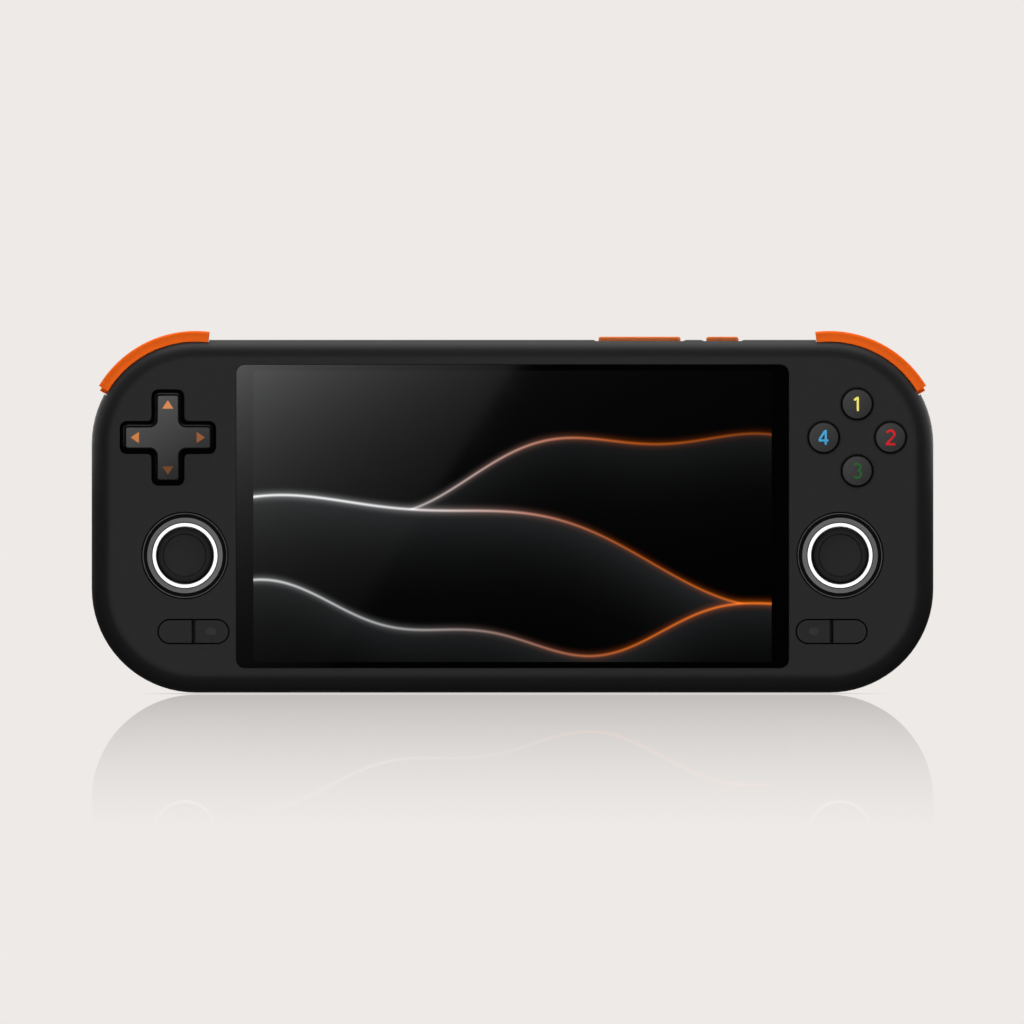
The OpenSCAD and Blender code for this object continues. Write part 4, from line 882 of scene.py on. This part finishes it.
def stroke(path, width, proud, depth_at):
    """A flattened oval carried along a path of (x, z) points; half the width to each side, proud
    above and below the ground. Both sizes close down at the ends by a half circle."""
    step = np.gradient(path, axis=0)
    step /= np.linalg.norm(step, axis=1, keepdims=True)
    across = np.stack([-step[:, 1], step[:, 0]], axis=-1)
    run = np.concatenate([[0], np.cumsum(np.linalg.norm(np.diff(path, axis=0), axis=1))])
    to_end = np.minimum(np.minimum(run, run[-1] - run), width / 2) / (width / 2)
    swell = np.sqrt(np.maximum(1 - (1 - to_end) ** 2, 0))[:, None]
    angle = np.linspace(0, 2 * np.pi, 20, endpoint=False)[None]
    round_off = lambda wave: np.sign(wave) * np.abs(wave) ** 0.45
    aside = round_off(np.cos(angle)) * width / 2 * swell
    x = path[:, :1] + across[:, :1] * aside
    z = path[:, 1:] + across[:, 1:] * aside
    return at_face(x, z, depth_at(x, z) - round_off(np.sin(angle)) * proud * swell)


def fine_line(start, end):
    """A straight stroke with points close together at its two ends."""
    share = (1 - np.cos(np.linspace(0, np.pi, 25))) / 2
    return np.asarray(start) * (1 - share[:, None]) + np.asarray(end) * share[:, None]


NUMERALS = {
    # button: colour, glow (painted light given off by the ink), strokes about the middle of the button
    "top": ((0.95, 0.84, 0.16), 0.08, [
        fine_line((-0.75, 0.85), (0.15, 1.6)), fine_line((0.15, 1.75), (0.15, -1.7))]),
    "right": ((0.68, 0.006, 0.014), 0.0, [
        arc((0, 0.75), 0.9, 165, -42, 40), fine_line((0.75, 0.3), (-1.05, -1.6)),
        fine_line((-1.2, -1.6), (1.15, -1.6))]),
    "bottom": ((0.012, 0.11, 0.016), 0.0, [
        arc((0, 0.85), 0.8, 150, -95, 44), arc((0, -0.75), 0.9, 95, -150, 44)]),
    "left": ((0.06, 0.42, 0.78), 0.0, [
        fine_line((0.45, 1.7), (-1.15, -0.65)), fine_line((-1.25, -0.7), (1.15, -0.7)),
        fine_line((0.45, 1.8), (0.45, -1.75))]),
}
STROKE_W, CROWN_R = 0.52, 22.0  # width of a numeral's stroke, radius of the domed button face
for name, (colour, glow, paths) in NUMERALS.items():
    node = "face_button_" + name
    outward = np.array(middle(node)) - HUB
    spot_x, spot_z = HUB + outward / np.linalg.norm(outward) * BUTTON_RING
    crown = lambda a, b: -BUTTON_PROUD + ((a - spot_x) ** 2 + (b - spot_z) ** 2) / (2 * CROWN_R)
    grids = [stroke(path + np.array([spot_x, spot_z]), STROKE_W, INK_PROUD, crown) for path in paths]
    piece("numeral_" + name, grids, node,
          mark_finish("numeral_ink_" + name, colour, glow).material)

PIP_HALF_W, PIP_HALF_H, PIP_SHIFT = 1.2, 0.9, 0.5
turn = np.linspace(0, 2 * np.pi, 48, endpoint=False)
pip = np.stack([PIP_HALF_W * np.cos(turn), PIP_HALF_H * np.sin(turn)], axis=-1)
for side, shift in (("left", -PIP_SHIFT), ("right", PIP_SHIFT)):
    node = side + "_menu_inner"
    spot_x, spot_z = middle(node)
    piece(side + "_menu_pip", [inlay(pip, MENU_PROUD, INK_PROUD, spot_x + shift, spot_z)], node,
          mark_finish(side + "_pip_ink", (0.0245, 0.0237, 0.0245), 0.0).material)


# ---------------------------------------------------------------- studio

def stage_sheet(name, corners, material):
    """A flat sheet: points between four corners, 3 by 3, joined in quads."""
    share = np.linspace(0, 1, 3)
    low, high = np.array(corners[:2], float), np.array(corners[2:], float)
    bottom = low[0] + (low[1] - low[0]) * share[:, None]
    top = high[0] + (high[1] - high[0]) * share[:, None]
    grid = bottom[None] + (top - bottom)[None] * share[:, None, None]
    index = np.arange(9).reshape(3, 3)
    quads = np.stack([index[:-1, :-1], index[:-1, 1:], index[1:, 1:], index[1:, :-1]], axis=-1)
    obj = stand(name, grid, quads, material)
    return obj


def bare(name):
    """A material with only its output node."""
    skin = Skin(name)
    skin.tree.nodes.remove(skin.shader)
    skin.shader = None
    return skin, skin.tree.nodes["Material Output"]


def floor_skin():
    """Pale ground that mirrors what stands on it. The mirror fades with distance from the foot of
    the object, and a narrow shade lies where the object touches; nothing is seen from below."""
    skin, out = bare("pale_floor")
    x, y, _ = skin.axes()
    foot_x, foot_y, shade_w, mirror_w = 74.0, 6.0, 17.0, 424.0 * EYE_M
    aside = (x.math("ABSOLUTE") - foot_x).math("MAXIMUM", 0.0)
    ahead = (y.math("ABSOLUTE") - foot_y).math("MAXIMUM", 0.0)
    away = (aside * aside + ahead * ahead).math("SQRT")
    paint = skin.node("ShaderNodeEmission")
    put(skin.tree, paint.inputs["Color"], skin.shade(PALE, away.ramp(0.0, shade_w) * 0.5 + 0.5))
    mirror = skin.node("ShaderNodeBsdfGlossy")
    mirror.inputs["Roughness"].default_value = 0.0
    mirror.inputs["Color"].default_value = (1.0, 1.0, 1.0, 1.0)
    glance = skin.node("ShaderNodeFresnel")
    glance.inputs["IOR"].default_value = 1.45
    fade = (away / mirror_w).flip().math("MAXIMUM", 0.0) ** 1.05
    share = Field(skin.tree, glance.outputs[0]) * fade * 0.41
    both = skin.node("ShaderNodeMixShader")
    put(skin.tree, both.inputs[0], share)
    skin.tree.links.new(paint.outputs[0], both.inputs[1])
    skin.tree.links.new(mirror.outputs[0], both.inputs[2])
    under = skin.node("ShaderNodeMixShader")
    skin.tree.links.new(skin.node("ShaderNodeNewGeometry").outputs["Backfacing"], under.inputs[0])
    skin.tree.links.new(both.outputs[0], under.inputs[1])
    skin.tree.links.new(skin.node("ShaderNodeBsdfTransparent").outputs[0], under.inputs[2])
    skin.tree.links.new(under.outputs[0], out.inputs["Surface"])
    return skin.material


def hide_from(obj, *rays):
    """Makes an object unseen by those kinds of ray."""
    for ray in rays:
        setattr(obj, "visible_" + ray, False)


def lamp_skin(name):
    """A material that gives light, but that the floor's sharp mirror doesn't show: there it is
    clear."""
    skin, out = bare(name)
    lamp = skin.node("ShaderNodeEmission")
    both = skin.node("ShaderNodeMixShader")
    skin.tree.links.new(skin.node("ShaderNodeLightPath").outputs["Is Singular Ray"], both.inputs[0])
    skin.tree.links.new(lamp.outputs[0], both.inputs[1])
    skin.tree.links.new(skin.node("ShaderNodeBsdfTransparent").outputs[0], both.inputs[2])
    skin.tree.links.new(both.outputs[0], out.inputs["Surface"])
    return skin, lamp.inputs["Strength"]


FLOOR_M, FLOOR_HALF_M = -0.00025, 9
floor = stage_sheet("floor", [(x_m, y_m, FLOOR_M) for y_m in (-FLOOR_HALF_M, FLOOR_HALF_M)
                              for x_m in (-FLOOR_HALF_M, FLOOR_HALF_M)], floor_skin())
hide_from(floor, "diffuse", "glossy", "transmission", "shadow")


def front_light(y_m, height_m, inner_m, outer_m, radiance):
    """A flat ring of light round the camera's line of sight: radius between inner and outer, angle
    all round."""
    angle = np.linspace(0, 2 * np.pi, 96, endpoint=False)[None]
    radius = np.linspace(inner_m, outer_m, 3)[:, None]
    across, up = radius * np.cos(angle), height_m + radius * np.sin(angle)
    grid = np.stack(np.broadcast_arrays(across, y_m, up), axis=-1)
    index = np.arange(across.size).reshape(across.shape)
    after = np.roll(index, -1, axis=1)
    quads = np.stack([index[:-1], after[:-1], after[1:], index[1:]], axis=-1)
    skin, strength = lamp_skin("front_light")
    strength.default_value = radiance
    obj = stand("front_light", grid, quads, skin.material)
    hide_from(obj, "camera", "shadow")


front_light(y_m=-0.9, height_m=EYE_HEIGHT_M, inner_m=0.13, outer_m=0.42, radiance=4.9)

CARD_M = 1.5  # glare card in front of the object


def glare_skin():
    """Card seen in the cover glass: bright to the left of a slanting edge, fading exponentially
    downwards and to the right, as it lies on the glass; the card is larger than that by the longer
    way to it."""
    skin, strength = lamp_skin("glare_card")
    x, _, z = skin.axes()
    reach = 1 + (CARD_M + FACE * MM) / (EYE_M + FACE * MM)
    on_x, on_z = x / reach, (z - EYE_HEIGHT_M / MM) / reach + EYE_HEIGHT_M / MM
    lean, corner_x, corner_z, fade_x, fade_z, radiance = 43.5 / 69.3, -64.5, 76.3, 33.0, 20.5, 2.1
    slant = on_x - (on_z - 77.0) * lean - 0.6
    fade = ((on_z - corner_z) / fade_z - (on_x - corner_x) / fade_x).math("EXPONENT")
    put(skin.tree, strength, slant.ramp(0.5, -0.5) * fade * radiance)
    return skin.material


card = stage_sheet("glare_card", [(x_m, -CARD_M, z_m) for z_m in (-0.01, 0.1) for x_m in (-0.11, 0.02)],
                   glare_skin())
hide_from(card, "camera", "diffuse", "shadow", "transmission")


def side_card(name, x_m, radiance):
    """An upright card of light beside the upper half of the object."""
    skin, strength = lamp_skin(name)
    strength.default_value = radiance
    near, far, low, high = -0.02, 0.16, 0.054, 0.25
    sheet = stage_sheet(name, [(x_m, near, low), (x_m, far, low), (x_m, near, high), (x_m, far, high)],
                        skin.material)
    hide_from(sheet, "camera", "shadow", "transmission")


side_card("left_card", x_m=-0.155, radiance=1.8)
side_card("right_card", x_m=0.155, radiance=2.1)


def softbox(name, place_m, look_m, width_m, depth_m, radiance):
    """An area light of even radiance: its power is radiance times pi times its area."""
    data = bpy.data.lights.new(name, "AREA")
    data.shape, data.size, data.size_y = "RECTANGLE", width_m, depth_m
    data.energy = radiance * math.pi * width_m * depth_m
    data.use_nodes = True
    nodes, links = data.node_tree.nodes, data.node_tree.links
    path = nodes.new("ShaderNodeLightPath")
    seen = Field(data.node_tree, path.outputs["Is Singular Ray"]).flip()
    links.new(seen.socket, nodes["Emission"].inputs["Strength"])
    lamp = bpy.data.objects.new(name, data)
    aim = np.subtract(look_m, place_m)
    lamp.location = place_m
    lamp.rotation_euler = (math.atan2(math.hypot(aim[0], aim[1]), -aim[2]), 0,
                           math.atan2(aim[0], -aim[1]) + math.pi)
    bpy.context.scene.collection.objects.link(lamp)
    hide_from(lamp, "camera")
    return lamp


softbox("top_light", place_m=(0, 0.08, 0.62), look_m=(0, 0.0, 0.06), width_m=0.7, depth_m=0.5,
        radiance=5.0)
back_light = softbox("back_light", place_m=(0, 0.9, 0.35), look_m=(0, 0.0, 0.04), width_m=0.9,
                     depth_m=0.6, radiance=3.4)
hide_from(back_light, "glossy")


def surroundings():
    """Even pale backdrop to the camera and the floor's mirror; to the object, a dim room that is
    bright behind it, less so at both sides, and dark below."""
    world = bpy.data.worlds.new("studio")
    world.use_nodes = True
    bpy.context.scene.world = world
    skin = Skin("studio", world.node_tree)
    back = world.node_tree.nodes["Background"]
    x, y, z = skin.axes(1.0, "Generated")
    behind = y.ramp(0.42, 0.62) * (x.ramp(0.3, 0.6) * -0.5 + 1.0) * 0.85
    beside = (x.ramp(-0.45, -0.8) + x.ramp(0.6, 0.95)) * 0.2 * y.ramp(-0.3, 0.1) * y.ramp(0.85, 0.6)
    level = (behind + beside + y.ramp(-0.8, 0.1) * 0.2 + 0.015) * (z.ramp(-0.05, 0.3) * 0.9 + 0.1)
    room = skin.shade((1.0, 0.965, 0.935), level)
    path = skin.node("ShaderNodeLightPath").outputs
    in_view = Field(world.node_tree, path["Is Camera Ray"])
    in_mirror = Field(world.node_tree, path["Is Singular Ray"])
    seen = in_view.math("MAXIMUM", in_mirror)
    put(world.node_tree, back.inputs["Color"], skin.mix(seen, room, PALE))


surroundings()

lens = bpy.data.cameras.new("camera")
lens.lens, lens.sensor_width, lens.sensor_fit = 800.0, 36.0, "HORIZONTAL"
lens.clip_start, lens.clip_end = 0.05, 40.0
camera = bpy.data.objects.new("camera", lens)
camera.location = (-0.00012, -EYE_M, EYE_HEIGHT_M)
camera.rotation_euler = (math.pi / 2, 0, 0)
bpy.context.scene.collection.objects.link(camera)
bpy.context.scene.camera = camera
bpy.context.scene.view_settings.view_transform = "Standard"
